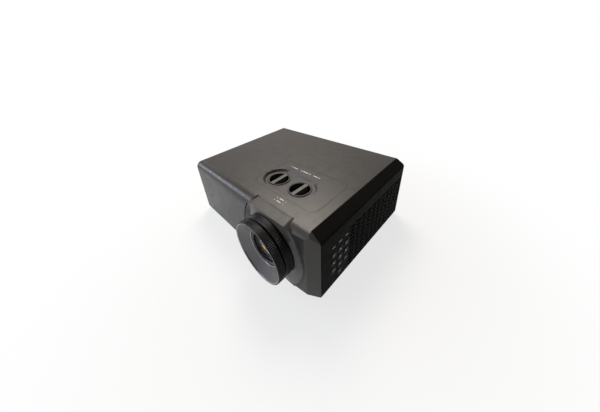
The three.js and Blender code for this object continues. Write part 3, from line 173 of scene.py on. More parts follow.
def rounded(low_a: float, high_a: float, low_b: float, high_b: float, radius: float,
            steps: int = 6) -> Outline:
    """Draws a rectangle with rounded corners.

    Args:
        low_a: Lowest value along the first axis.
        high_a: Highest value along the first axis.
        low_b: Lowest value along the second axis.
        high_b: Highest value along the second axis.
        radius: Corner radius.
        steps: Segments in each corner.

    Returns:
        The outline, anticlockwise.
    """
    corners = [(high_a - radius, low_b + radius, -90), (high_a - radius, high_b - radius, 0),
               (low_a + radius, high_b - radius, 90), (low_a + radius, low_b + radius, 180)]
    points: Outline = []
    for a, b, start in corners:
        for k in range(steps + 1):
            angle = math.radians(start + 90 * k / steps)
            points.append((a + radius * math.cos(angle), b + radius * math.sin(angle)))
    return points


def circle(a: float, b: float, radius: float, steps: int = 32) -> Outline:
    """Draws a circle as an outline."""
    return [(a + radius * math.cos(math.tau * k / steps), b + radius * math.sin(math.tau * k / steps))
            for k in range(steps)]


# Meshes


@dataclass
class Form:
    """Corners and faces of a piece under construction, in the row frame in metres."""

    corners: list[Vector] = field(default_factory=list)
    faces: list[tuple[int, ...]] = field(default_factory=list)

    def add(self, other: Form) -> Form:
        """Joins another form's faces to this one and returns this one.

        Args:
            other: The form to join.

        Returns:
            This form.
        """
        base = len(self.corners)
        self.corners += other.corners
        self.faces += [tuple(i + base for i in face) for face in other.faces]
        return self

    @staticmethod
    def loft(loops: Sequence[Loop], closed_row: bool = False) -> Form:
        """Skins a row of loops that have equal counts of points.

        Args:
            loops: The loops, in order.
            closed_row: Whether the last loop joins the first, as in a ring; else both ends are capped.

        Returns:
            The closed form.
        """
        count = len(loops[0])
        form = Form([p for loop in loops for p in loop])
        rows = len(loops) if closed_row else len(loops) - 1
        for row in range(rows):
            after = (row + 1) % len(loops)
            for i in range(count):
                j = (i + 1) % count
                form.faces.append((row * count + i, row * count + j, after * count + j, after * count + i))
        if not closed_row:
            form.faces.append(tuple(range(count - 1, -1, -1)))
            form.faces.append(tuple(range((len(loops) - 1) * count, len(loops) * count)))
        return form

    @staticmethod
    def prism(outline: Outline, plane: Plane, low: float, high: float) -> Form:
        """Runs an outline along its plane's normal from one depth to another."""
        return Form.loft([[plane.point(a, b, depth) for a, b in outline] for depth in (low, high)])

    @staticmethod
    def turned(profile: Sequence[tuple[float, float]], plane: Plane, a: float, b: float,
               steps: int = 96, teeth: Teeth | None = None, closed_row: bool = True) -> Form:
        """Turns a profile about the normal of a plane.

        Args:
            profile: Pairs of radius and depth.
            plane: The plane that the axis stands on.
            a: First coordinate of the axis.
            b: Second coordinate of the axis.
            steps: Segments round the axis, where there are no teeth.
            teeth: Ridges cut into the stretch of the profile that they name.
            closed_row: Whether the profile is a ring; else both ends are capped.

        Returns:
            The closed form.
        """
        count = teeth.count * 4 if teeth else steps
        loops: list[Loop] = []
        for index, (radius, depth) in enumerate(profile):
            loop: Loop = []
            for k in range(count):
                angle = math.tau * k / count
                r = radius + (teeth.offset(index, k) if teeth else 0.0)
                loop.append(plane.point(a + r * math.cos(angle), b + r * math.sin(angle), depth))
            loops.append(loop)
        pointed = profile[0][0] == 0 and profile[-1][0] == 0
        return Form.loft(loops, closed_row and not pointed)


@dataclass(frozen=True)
class Teeth:
    """Fine ridges round a turned piece.

    Attributes:
        count: Number of ridges.
        depth: Height of a ridge, negative where the grooves go outwards.
        rows: Which loops of the profile have ridges.
    """

    count: int
    depth: float
    rows: range

    def offset(self, row: int, step: int) -> float:
        """Gives how far the surface steps in at one corner of the ridges.

        Args:
            row: Number of the loop in the profile.
            step: Number of the corner round the axis.

        Returns:
            The step in millimetres, negative where it goes in.
        """
        if row not in self.rows:
            return 0.0
        return -self.depth if step % 4 < 2 else 0.0


# Finishes


def linear(code: int, alpha: float = 1.0) -> tuple[float, float, float, float]:
    """Turns an sRGB hex value to linear colour.

    Args:
        code: The hex value.
        alpha: The fourth value.

    Returns:
        Red, green, blue and alpha.
    """
    parts = [((code >> shift) & 255) / 255 for shift in (16, 8, 0)]
    lin = [p / 12.92 if p <= 0.04045 else ((p + 0.055) / 1.055) ** 2.4 for p in parts]
    return (lin[0], lin[1], lin[2], alpha)


def add_node(tree: bpy.types.NodeTree, kind: str, settings: dict | None = None,
             inputs: dict | None = None) -> bpy.types.Node:
    """Adds a node with its settings and links.

    Args:
        tree: The tree that it goes into.
        kind: The node's type name.
        settings: Attributes to set.
        inputs: Values, or sockets to link from, by input name or number.

    Returns:
        The node.
    """
    node = tree.nodes.new(kind)
    for key, value in (settings or {}).items():
        setattr(node, key, value)
    for key, value in (inputs or {}).items():
        if isinstance(value, bpy.types.NodeSocket):
            tree.links.new(value, node.inputs[key])
        else:
            node.inputs[key].default_value = value
    return node


@dataclass(frozen=True)
class Finish:
    """A moulded or made surface: its colour, its gloss and its grain.

    Attributes:
        name: Name of the material.
        colour: sRGB hex value.
        roughness: Roughness of the surface.
        slot: The record's material slot; not used.
        metallic: 1 for bare metal.
        specular: Strength of the surface reflection, 0.5 for the IOR's own.
        ior: Index of refraction.
        grain_mm: Width of one grain; drawn no finer than shows.
        depth_mm: Height of the grain.
        mottle: Share by which the colour varies.
        mottle_mm: Width of the colour's patches.
        wear: Share by which worn edges are lighter.
    """

    name: str
    colour: int
    roughness: float
    slot: str
    metallic: float = 0.0
    specular: float = 0.5
    ior: float = 1.5
    grain_mm: float = 0.8
    depth_mm: float = 0.02
    mottle: float = 0.05
    mottle_mm: float = 45.0
    wear: float = 0.0

    def material(self) -> bpy.types.Material:
        """Gives the material, made once.

        Returns:
            The material.
        """
        known = bpy.data.materials.get(self.name)
        if known is not None:
            return known
        material = bpy.data.materials.new(self.name)
        material.use_nodes = True
        tree = material.node_tree
        tree.nodes.clear()
        shader = add_node(tree, "ShaderNodeBsdfPrincipled", None, {
            "Metallic": self.metallic, "Specular IOR Level": self.specular,
        })
        if self.metallic < 1:
            shader.inputs["IOR"].default_value = self.ior
        self.dress(tree, shader)
        out = add_node(tree, "ShaderNodeOutputMaterial")
        tree.links.new(self.surfaced(tree, shader), out.inputs["Surface"])
        return material

    def surfaced(self, tree: bpy.types.NodeTree, shader: bpy.types.Node) -> bpy.types.NodeSocket:
        """Gives the shader that the surface shows."""
        return shader.outputs["BSDF"]

    def dress(self, tree: bpy.types.NodeTree, shader: bpy.types.Node) -> None:
        """Links the colour, roughness and grain into the shader.

        Args:
            tree: The material's node tree.
            shader: The material's surface shader.
        """
        where = add_node(tree, "ShaderNodeTexCoord").outputs["Object"]
        tree.links.new(self.coloured(tree, where), shader.inputs["Base Color"])
        tree.links.new(self.roughened(tree, where), shader.inputs["Roughness"])
        tree.links.new(self.grained(tree, where), shader.inputs["Normal"])

    def coloured(self, tree: bpy.types.NodeTree, where: bpy.types.NodeSocket) -> bpy.types.NodeSocket:
        """Gives the colour with its soft patches and, where it has them, its worn edges.

        Args:
            tree: The material's node tree.
            where: Place on the object, in the row frame.

        Returns:
            The socket that gives it.
        """
        patches = add_node(tree, "ShaderNodeTexNoise", None, {
            "Vector": where, "Scale": 1 / (self.mottle_mm * MM), "Detail": 4.0, "Roughness": 0.6,
        })
        level = add_node(tree, "ShaderNodeMapRange", None, {
            "Value": patches.outputs["Fac"], "From Min": 0.3, "From Max": 0.7,
            "To Min": 1 - self.mottle, "To Max": 1 + self.mottle,
        })
        colour = add_node(tree, "ShaderNodeMix", {"data_type": "RGBA", "blend_type": "MULTIPLY"}, {
            "Factor": 1.0, "A": linear(self.colour), "B": level.outputs["Result"],
        })
        if self.wear == 0:
            return colour.outputs["Result"]
        soft = add_node(tree, "ShaderNodeBevel", {"samples": 4}, {"Radius": 0.9 * MM})
        flat = add_node(tree, "ShaderNodeNewGeometry")
        turn = add_node(tree, "ShaderNodeVectorMath", {"operation": "DOT_PRODUCT"}, {
            0: soft.outputs["Normal"], 1: flat.outputs["Normal"],
        })
        edge = add_node(tree, "ShaderNodeMapRange", None, {
            "Value": turn.outputs["Value"], "From Min": 0.99, "From Max": 0.86,
            "To Min": 0.0, "To Max": self.wear,
        })
        worn = add_node(tree, "ShaderNodeMix", {"data_type": "RGBA"}, {
            "Factor": edge.outputs["Result"], "A": colour.outputs["Result"], "B": linear(0x9A978F),
        })
        return worn.outputs["Result"]

    def roughened(self, tree: bpy.types.NodeTree, where: bpy.types.NodeSocket) -> bpy.types.NodeSocket:
        """Gives the roughness with the faint handling marks that any such surface has.

        Args:
            tree: The material's node tree.
            where: Place on the object, in the row frame.

        Returns:
            The socket that gives it.
        """
        marks = add_node(tree, "ShaderNodeTexNoise", None, {
            "Vector": where, "Scale": 1 / (18 * MM), "Detail": 5.0,
        })
        level = add_node(tree, "ShaderNodeMapRange", None, {
            "Value": marks.outputs["Fac"], "From Min": 0.3, "From Max": 0.7,
            "To Min": self.roughness - 0.04, "To Max": self.roughness + 0.05,
        })
        return level.outputs["Result"]

    def grained(self, tree: bpy.types.NodeTree, where: bpy.types.NodeSocket) -> bpy.types.NodeSocket:
        """Gives the normal with the grain's bump.

        Args:
            tree: The material's node tree.
            where: Place on the object, in the row frame.

        Returns:
            The socket that gives it.
        """
        grain = add_node(tree, "ShaderNodeTexNoise", None, {
            "Vector": where, "Scale": 1 / (self.grain_mm * MM), "Detail": 2.0,
        })
        bump = add_node(tree, "ShaderNodeBump", None, {
            "Strength": 1.0, "Distance": self.depth_mm * MM, "Height": grain.outputs["Fac"],
        })
        return bump.outputs["Normal"]


@dataclass(frozen=True)
class TurnedFinish(Finish):
    """A surface turned on a lathe about the lens axis, with fine rings left by the tool."""

    pitch_mm: float = 1.1

    def grained(self, tree: bpy.types.NodeTree, where: bpy.types.NodeSocket) -> bpy.types.NodeSocket:
        """Gives the normal with rings about the lens axis.

        Args:
            tree: The material's node tree.
            where: Place on the object, in the row frame.

        Returns:
            The socket that gives it.
        """
        height = radial_wave(tree, where, self.pitch_mm)
        bump = add_node(tree, "ShaderNodeBump", None, {
            "Strength": 1.0, "Distance": self.depth_mm * MM, "Height": height,
        })
        return bump.outputs["Normal"]


def lens_radius(tree: bpy.types.NodeTree, where: bpy.types.NodeSocket) -> bpy.types.NodeSocket:
    """Gives the distance from the lens axis in metres.

    Args:
        tree: The material's node tree.
        where: Place on the object, in the row frame.

    Returns:
        The socket that gives it.
    """
    x, z = lens_axis()
    centre = place(x, 0, z)
    moved = add_node(tree, "ShaderNodeVectorMath", {"operation": "SUBTRACT"}, {0: where, 1: centre})
    flat = add_node(tree, "ShaderNodeVectorMath", {"operation": "MULTIPLY"}, {
        0: moved.outputs["Vector"], 1: (1.0, 0.0, 1.0),
    })
    length = add_node(tree, "ShaderNodeVectorMath", {"operation": "LENGTH"}, {0: flat.outputs["Vector"]})
    return length.outputs["Value"]


def radial_wave(tree: bpy.types.NodeTree, where: bpy.types.NodeSocket,
                pitch: float) -> bpy.types.NodeSocket:
    """Gives a wave of rings about the lens axis, one ring to each pitch in millimetres.

    Args:
        tree: The material's node tree.
        where: Place on the object, in the row frame.
        pitch: Distance between two rings in millimetres.

    Returns:
        The socket that gives it.
    """
    turns = add_node(tree, "ShaderNodeMath", {"operation": "MULTIPLY"}, {
        0: lens_radius(tree, where), 1: math.tau / (pitch * MM),
    })
    wave = add_node(tree, "ShaderNodeMath", {"operation": "SINE"}, {0: turns.outputs["Value"]})
    return wave.outputs["Value"]


@dataclass(frozen=True)
class CoatedElementPaintedReflections(Finish):
    """A lens element seen by the light that it throws back, in rings of tint: partly its coating's colour,
    partly painted reflections of the lamps inside the lens.

    Attributes:
        rings: Pairs of radius in millimetres and sRGB hex value, from the middle out.
    """

    rings: tuple[tuple[float, int], ...] = ((0.0, 0xFFFFFF), (10.0, 0x000000))

    def coloured(self, tree: bpy.types.NodeTree, where: bpy.types.NodeSocket) -> bpy.types.NodeSocket:
        """Gives the tint by the distance from the lens axis: the coating's colour with painted reflections.

        Args:
            tree: The material's node tree.
            where: Place on the object, in the row frame.

        Returns:
            The socket that gives it.
        """
        reach = self.rings[-1][0]
        share = add_node(tree, "ShaderNodeMath", {"operation": "DIVIDE"}, {
            0: lens_radius(tree, where), 1: reach * MM,
        })
        ramp = add_node(tree, "ShaderNodeValToRGB", None, {"Fac": share.outputs["Value"]})
        stops = ramp.color_ramp.elements
        stops[0].color = linear(self.rings[0][1])
        stops[1].color = linear(self.rings[-1][1])
        for radius, code in self.rings[1:-1]:
            stops.new(radius / reach).color = linear(code)
        return ramp.outputs["Color"]


@dataclass(frozen=True)
class ClearGlass(Finish):
    """Optical crown glass, coated so that it throws back little light.

    It is seen through without bending, so that its many close surfaces don't trap the light.
    """

    def surfaced(self, tree: bpy.types.NodeTree, shader: bpy.types.Node) -> bpy.types.NodeSocket:
        """Mixes what lies behind the glass with what its coating throws back, on outer faces alone.

        Args:
            tree: The material's node tree.
            shader: The coating's shader.

        Returns:
            The socket that gives it.
        """
        edge = add_node(tree, "ShaderNodeFresnel", None, {"IOR": self.ior})
        inside = add_node(tree, "ShaderNodeNewGeometry").outputs["Backfacing"]
        coating = add_node(tree, "ShaderNodeMapRange", None, {
            "Value": inside, "To Min": self.specular, "To Max": 0.0,
        })
        share = add_node(tree, "ShaderNodeMath", {"operation": "MULTIPLY"}, {
            0: edge.outputs["Fac"], 1: coating.outputs["Result"],
        })
        through = add_node(tree, "ShaderNodeBsdfTransparent", None, {"Color": linear(self.colour)})
        both = add_node(tree, "ShaderNodeMixShader", None, {
            0: share.outputs["Value"], 1: through.outputs["BSDF"], 2: shader.outputs["BSDF"],
        })
        return both.outputs["Shader"]

    def dress(self, tree: bpy.types.NodeTree, shader: bpy.types.Node) -> None:
        """Makes the coating a plain mirror; the mix weighs it.

        Args:
            tree: The material's node tree.
            shader: The coating's shader.
        """
        shader.inputs["Base Color"].default_value = linear(0xFFFFFF)
        shader.inputs["Roughness"].default_value = 0.02
        shader.inputs["Metallic"].default_value = 1.0


@dataclass(frozen=True)
class BoardFinish(Finish):
    """Glass-fibre circuit board under green lacquer, with copper tracks showing as lighter lines."""

    def coloured(self, tree: bpy.types.NodeTree, where: bpy.types.NodeSocket) -> bpy.types.NodeSocket:
        """Gives the lacquer's green with its tracks.

        Args:
            tree: The material's node tree.
            where: Place on the object, in the row frame.

        Returns:
            The socket that gives it.
        """
        tracks = add_node(tree, "ShaderNodeTexBrick", None, {
            "Vector": where, "Color1": linear(self.colour), "Color2": linear(0x24583A),
            "Mortar": linear(0x4F7F55), "Scale": 1 / (30 * MM), "Mortar Size": 0.02,
        })
        return tracks.outputs["Color"]


class Finishes:
    """The projector's finishes, each named for its material and how its surface was made, and for the light
    or shade painted into it where there is some.
    """

    # Moulded ABS with a fine spark-eroded grain: a dark warm grey that scatters a soft sheen
    CASE = Finish("spark_grained_charcoal_abs", 0x464340, 0.36, "charcoal_case", specular=0.34,
                  grain_mm=0.9, depth_mm=0.012, mottle=0.05, wear=0.3)
    # The same ABS on the visor and round the lens, a little smoother and so a little more glossy
    VISOR = Finish("satin_charcoal_abs", 0x46433F, 0.42, "charcoal_case", specular=0.3,
                   grain_mm=0.9, depth_mm=0.008, mottle=0.04, wear=0.3)
    # The wall inside the visor's crest: the case's ABS moulded smoother still, so it throws back more light,
    # with its colour painted lighter than the case's as painted light
    DISH_PAINTED_LIGHTER = Finish("smooth_charcoal_abs_painted_lighter", 0x605E5B, 0.34, "charcoal_case", specular=0.5,
                  grain_mm=0.9, depth_mm=0.004, mottle=0.03)
    # Darker ABS of the side cover, nearly black: partly its own colour and partly painted shade for the side
    # that faces away from the light
    SIDE = Finish("grained_black_abs_painted_shade", 0x1E1D1B, 0.6, "black_plastic", specular=0.02,
                  grain_mm=0.9, depth_mm=0.012, mottle=0.06, wear=0.15)
    # Satin black keys
    KEY = Finish("satin_black_abs", 0x0C0C0D, 0.4, "black_plastic", specular=0.04,
                 grain_mm=1.0, depth_mm=0.002, mottle=0.03)
    # The ring that holds the front glass: anodised a dark grey that stands out from the black cell
    DARK_RING = Finish("dark_grey_anodised_aluminium", 0x3A3A3C, 0.35, "black_plastic", specular=0.4,
                       grain_mm=1.0, depth_mm=0.004)
    # Bare turned edge of the hood, where the anodising is cut back to bright metal
    EDGE = Finish("bright_turned_aluminium", 0xC4C0BA, 0.3, "knurled_black", metallic=1.0,
                  grain_mm=1.0, depth_mm=0.004)
    # Plain black ABS of the tray, rear panel, grille and sockets
    BLACK = Finish("moulded_black_abs", 0x1C1C1D, 0.55, "black_plastic", specular=0.25,
                   grain_mm=1.0, depth_mm=0.015, mottle=0.06)
    # Glass-filled nylon of the fans and the filter's frame
    NYLON = Finish("glass_filled_black_nylon", 0x17181A, 0.6, "black_plastic", specular=0.3,
                   grain_mm=1.4, depth_mm=0.03)
    # Knurled polycarbonate: black, with the ridges catching the light
    KNURL = Finish("knurled_black_polycarbonate", 0x131313, 0.48, "knurled_black", specular=0.3,
                   grain_mm=1.0, depth_mm=0.01, mottle=0.08)
    # Bell of the hood, turned and anodised: mid grey with fine rings
    BELL = TurnedFinish("turned_grey_bell", 0x606063, 0.34, "knurled_black", metallic=0.85, specular=0.5,
                        depth_mm=0.006, mottle=0.04, pitch_mm=1.6)
    # Black anodised aluminium inside the lens
    ANODISED = TurnedFinish("black_anodised_turned_aluminium", 0x121213, 0.35, "black_plastic",
                            specular=0.4, depth_mm=0.006, pitch_mm=1.0)
    # Moulded ABS of the dials, lighter than the case, so that the grip bars stand out
    DIAL = Finish("satin_grey_abs", 0x56554F, 0.45, "grey_plastic", specular=0.45,
                  grain_mm=0.9, depth_mm=0.008)
    # Near black with upright ribs: painted shade in the dials' pits and on their rims, in the panel's joint
    # and in the ring's key slots
    SHADE_BLACK = Finish("ribbed_painted_shade_black", 0x0C0C0C, 0.5, "black_plastic", specular=0.3,
                      grain_mm=0.9, depth_mm=0.01)
    # Pressed steel plated with zinc: pale grey, with soft patches from the plating
    ALLOY = Finish("pressed_zinc_plated_steel", 0xA7A9AB, 0.38, "carriage_alloy", metallic=1.0,
                   grain_mm=2.0, depth_mm=0.01, mottle=0.08)
    # Nickel-plated shells of the sockets: bright, a little warm, nearly smooth
    PLATED = Finish("nickel_plated_steel", 0xB9B9B7, 0.3, "socket_metal", metallic=1.0,
                    grain_mm=1.5, depth_mm=0.006)
    # Moulded glass-filled resin of the engine: a dry mid grey with a coarse skin
    CASTING = Finish("grey_glass_filled_resin", 0x5F5F5D, 0.6, "grey_plastic", specular=0.3,
                     grain_mm=1.6, depth_mm=0.04)
    # Green lacquer over copper, so that the tracks show as lighter lines
    BOARD = BoardFinish("lacquered_circuit_board", 0x1E4A2C, 0.45, "circuit_board")
    # Moulded rubber of the feet: dull black, with hardly any shine
    RUBBER = Finish("moulded_black_rubber", 0x131313, 0.85, "foot_rubber", specular=0.2,
                    grain_mm=1.2, depth_mm=0.05)
    # Polished crown glass: clear, with a weak reflection that grows at the edge
    GLASS = ClearGlass("coated_crown_glass", 0xFAFCFA, 0.0, "lens_glass", specular=0.22, ior=1.52)
    # Second element: amber in the middle, then grey, pale, green and wine-red rings, partly its coating's
    # colour and partly painted reflections of the lamps
    COATED_PAINTED_REFLECTIONS = CoatedElementPaintedReflections("multicoated_element_painted_reflections", 0xC08040, 0.07, "lens_glass", metallic=1.0, depth_mm=0.0,
                           rings=((0.0, 0xF0B450), (5.0, 0xD07A34), (7.0, 0x2A1C20), (9.5, 0x7E848A),
                                  (11.2, 0x1C2022), (12.6, 0xE0D4C6), (14.4, 0xAEB08C), (16.0, 0x14181A),
                                  (19.0, 0x4C2430), (21.5, 0x120E16), (25.5, 0x30242E), (28.9, 0x050506)))
    # Pad-printed ink: flat white, a little grey, standing on the plastic
    PRINT = Finish("white_pad_print", 0xD8D8D4, 0.5, "indicator_light", mottle=0.02, depth_mm=0.002)
    # Moulded acrylic of the light bars: whitish, smooth and unlit
    LIGHT = Finish("translucent_white_acrylic", 0xB9B9B4, 0.25, "indicator_light", mottle=0.02,
                   depth_mm=0.002)
    # Moulded polycarbonate of the remote window: nearly black, with a red depth
    WINDOW = Finish("dark_red_polycarbonate", 0x1A1012, 0.12, "black_plastic", mottle=0.02,
                    depth_mm=0.001)
    # Blackened steel: dark, with a dull metal shine
    SCREW = Finish("black_oxide_steel", 0x242424, 0.4, "socket_metal", metallic=1.0)
    # Gold-plated contacts: warm and bright inside the dark sockets
    COPPER = Finish("gold_plated_contact", 0xC9A24E, 0.3, "socket_metal", metallic=1.0)


# Pieces


@dataclass
class Workshop:
    """Makes pieces and dresses the frame's nodes."""

    frame: dict

    def piece(self, name: str, form: Form, body: str, finish: Finish, bevel: float = 0.0,
              replaces: Iterable[str] = (), smooth: float = SHARP_DEGREES) -> bpy.types.Object:
        """Makes one piece that rides on a body.

        Args:
            name: Name of the piece.
            form: Its closed form.
            body: The body that it rides on.
            finish: Its finish.
            bevel: Width of the rounding of its sharp edges, in millimetres.
            replaces: Nodes of the frame that it stands for.
            smooth: Faces that meet at less than this angle are shaded as one surface.

        Returns:
            The object.
        """
        mesh = bpy.data.meshes.new(name)
        mesh.from_pydata([tuple(p) for p in form.corners], [], form.faces)
        shaping = bmesh.new()
        shaping.from_mesh(mesh)
        bmesh.ops.remove_doubles(shaping, verts=shaping.verts, dist=MERGE_MM * MM)
        bmesh.ops.recalc_face_normals(shaping, faces=shaping.faces)
        if shaping.calc_volume(signed=True) < 0:
            bmesh.ops.reverse_faces(shaping, faces=shaping.faces)
        shaping.to_mesh(mesh)
        shaping.free()
        mesh.polygons.foreach_set("use_smooth", [True] * len(mesh.polygons))
        mesh.set_sharp_from_angle(angle=math.radians(smooth))
        mesh.materials.append(finish.material())
        made = bpy.data.objects.new(name, mesh)
        bpy.context.scene.collection.objects.link(made)
        if bevel > 0:
            self.soften(made, bevel)
        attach(made, body)
        if replaces:
            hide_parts(*replaces)
        LOG.info("piece %s on %s", name, body)
        return made

    def soften(self, made: bpy.types.Object, width: float) -> None:
        """Rounds an object's sharp edges by a width in millimetres.

        Args:
            made: The object.
            width: Width of the rounding in millimetres.
        """
        bevel = made.modifiers.new("soft_edges", "BEVEL")
        bevel.width = width * MM
        bevel.segments = 2
        bevel.limit_method = "ANGLE"
        bevel.angle_limit = math.radians(SHARP_DEGREES)
        bevel.harden_normals = True

    def dress(self, finish: Finish, names: Iterable[str], bevel: float = 0.0) -> None:
        """Gives nodes of the frame a finish, smooth shading and softened edges.

        Args:
            finish: The finish.
            names: The nodes.
            bevel: Width of the rounding in millimetres.
        """
        for name in names:
            node = self.frame["nodes"][name]
            node.data.materials.clear()
            node.data.materials.append(finish.material())
            node.data.polygons.foreach_set("use_smooth", [True] * len(node.data.polygons))
            weld = node.modifiers.new("weld", "WELD")
            weld.merge_threshold = MERGE_MM * MM
            if bevel > 0:
                self.soften(node, bevel)
            normals = node.modifiers.new("even_normals", "WEIGHTED_NORMAL")
            normals.keep_sharp = True
            LOG.info("dressed %s in %s", name, finish.name)


class Mark(Enum):
    """Plain marks of the kind that keys and dials carry."""

    UP = "up"
    DOWN = "down"
    LEFT = "left"
    RIGHT = "right"
    RING = "ring"
    BAR = "bar"
    BARS = "bars"
    PLUS = "plus"
    POWER = "power"
    TURN = "turn"

    def outlines(self, size: float) -> list[Outline]:
        """Gives the mark's closed outlines about (0, 0), in millimetres.

        Args:
            size: The mark's size in millimetres.

        Returns:
            The outlines.
        """
        h = size / 2
        w = size * 0.16
        arrow = [(0.0, h), (-h, -h * 0.75), (h, -h * 0.75)]
        turns = {Mark.UP: 0, Mark.LEFT: 90, Mark.DOWN: 180, Mark.RIGHT: 270}
        if self in turns:
            angle = math.radians(turns[self])
            return [[(a * math.cos(angle) - b * math.sin(angle), a * math.sin(angle) + b * math.cos(angle))
                     for a, b in arrow]]
        if self is Mark.BAR:
            return [rounded(-h, h, -w / 2, w / 2, w / 2, 3)]
        if self is Mark.BARS:
            return [rounded(-h, h, b - w / 2, b + w / 2, w / 2, 3) for b in (-h * 0.7, 0, h * 0.7)]
        if self is Mark.PLUS:
            return [[(w / 2, w / 2), (w / 2, h), (-w / 2, h), (-w / 2, w / 2), (-h, w / 2), (-h, -w / 2),
                     (-w / 2, -w / 2), (-w / 2, -h), (w / 2, -h), (w / 2, -w / 2), (h, -w / 2), (h, w / 2)]]
        if self is Mark.RING:
            return [sector(h, h - w, 0, 180), sector(h, h - w, 180, 360)]
        if self is Mark.POWER:
            bar = [(-w / 2, 0), (w / 2, 0), (w / 2, h * 1.1), (-w / 2, h * 1.1)]
            return [sector(h, h - w, 120, 420), bar]
        return [sector(h, h - w, 30, 330), [(h * 0.5, h * 0.1), (h * 1.3, h * 0.1), (h * 0.9, h * 0.9)]]


def sector(outer: float, inner: float, start: float, end: float, steps: int = 14) -> Outline:
    """Draws a stretch of a ring between two angles in degrees.

    Args:
        outer: Outer radius.
        inner: Inner radius.
        start: First angle.
        end: Last angle.
        steps: Segments along the ring.

    Returns:
        The outline.
    """
    angles = [math.radians(start + (end - start) * k / steps) for k in range(steps + 1)]
    return ([(outer * math.cos(t), outer * math.sin(t)) for t in angles]
            + [(inner * math.cos(t), inner * math.sin(t)) for t in reversed(angles)])


def mark_form(mark: Mark, size: float, plane: Plane, a: float, b: float, depth: float) -> Form:
    """Draws a mark as a very thin solid that starts just under a surface.

    Args:
        mark: Which mark.
        size: Its size in millimetres.
        plane: The plane that it lies in.
        a: First coordinate of its middle.
        b: Second coordinate of its middle.
        depth: Depth of the surface; the mark stands proud towards growing depth.

    Returns:
        The mark's form.
    """
    form = Form()
    for outline in mark.outlines(size):
        moved = [(a + p, b + q) for p, q in outline]
        form.add(Form.prism(moved, plane, depth - PRINT_SUNK, depth + PRINT_PROUD))
    return form


# Sub-assemblies


@dataclass
class CaseShell:
    """The upper shell, the tray and what is let into them."""

    shop: Workshop
    screw_places: tuple[tuple[float, float], ...] = (
        (-196, 22), (-60, 14), (196, 40), (-196, 322), (0, 322), (190, 322), (-150, 200), (150, 200))
    screw_radius: float = 3.2
    window_flange: float = 2.0
    window_lip: float = 0.5
    window_crown: float = 0.35

    def build(self) -> None:
        """Dresses the shell and adds its window and the screws of the tray."""
        self.shop.dress(Finishes.CASE, ["upper_shell"], 0.5)
        # the side cover's darker colour is partly painted shade
        self.shop.dress(Finishes.SIDE, ["right_side_cover"], 0.35)
        self.shop.dress(Finishes.BLACK, ["bottom_tray", "exhaust_grille"], 0.3)
        self.remote_window()
        self.tray_screws()

    def remote_window(self) -> None:
        """Makes the round dark window with its shallow dome."""
        span = Span.of("remote_window")
        flange, back = span.half.x, span.high.y
        r, step = flange - self.window_flange, back - self.window_flange
        profile = [(flange, back), (flange, step), (r - 0.1, step), (r - 0.1, self.window_lip),
                   (r - 0.7, 0.1), (r * 0.5, 0.1 - self.window_crown), (0.0, -self.window_crown),
                   (0.0, back)]
        form = Form.turned(profile, Plane.FRONT, span.seat.x, span.seat.z, 40)
        self.shop.piece("remote_window_lens", form, "chassis", Finishes.WINDOW, replaces=["remote_window"])

    def tray_screws(self) -> None:
        """Sets cross-head screws into the underside."""
        for number, (x, y) in enumerate(self.screw_places, 1):
            screw = cross_screw(Plane.TOP, x, y, 0.0, -1.0, self.screw_radius)
            self.shop.piece(f"tray_screw_{number}", screw, "chassis", Finishes.SCREW, 0.1)


def cross_screw(plane: Plane, a: float, b: float, depth: float, out: float, radius: float) -> Form:
    """Draws the domed head of a screw: a raised ring round a hollow with a low cross standing in it.

    Args:
        plane: The plane that the head lies on.
        a: First coordinate of its middle.
        b: Second coordinate of its middle.
        depth: Depth of the surface that it is driven into.
        out: +1 or -1, the way its head looks along the plane's normal.
        radius: Radius of the head in millimetres.

    Returns:
        The screw's form.
    """
    # Heights over the surface: the sunk underside, the edge, the shoulder, the crown, the hollow's floor
    under, edge, shoulder, crown, hollow = (depth + out * height for height in (-1.5, 0.5, 1.0, 1.25, 0.7))
    head = [(0.0, under), (radius, under), (radius, edge), (radius * 0.85, shoulder),
            (radius * 0.5, crown), (radius * 0.46, hollow), (0.0, hollow)]
    form = Form.turned(head, plane, a, b, 24)
    reach, width = radius * 0.62, radius * 0.12
    for half_a, half_b in ((reach, width), (width, reach)):
        low, high = sorted((depth + out * 0.6, depth + out * 1.1))
        form.add(Form.prism(rounded(a - half_a, a + half_a, b - half_b, b + half_b, width * 0.4, 2), plane,
                            low, high))
    return form


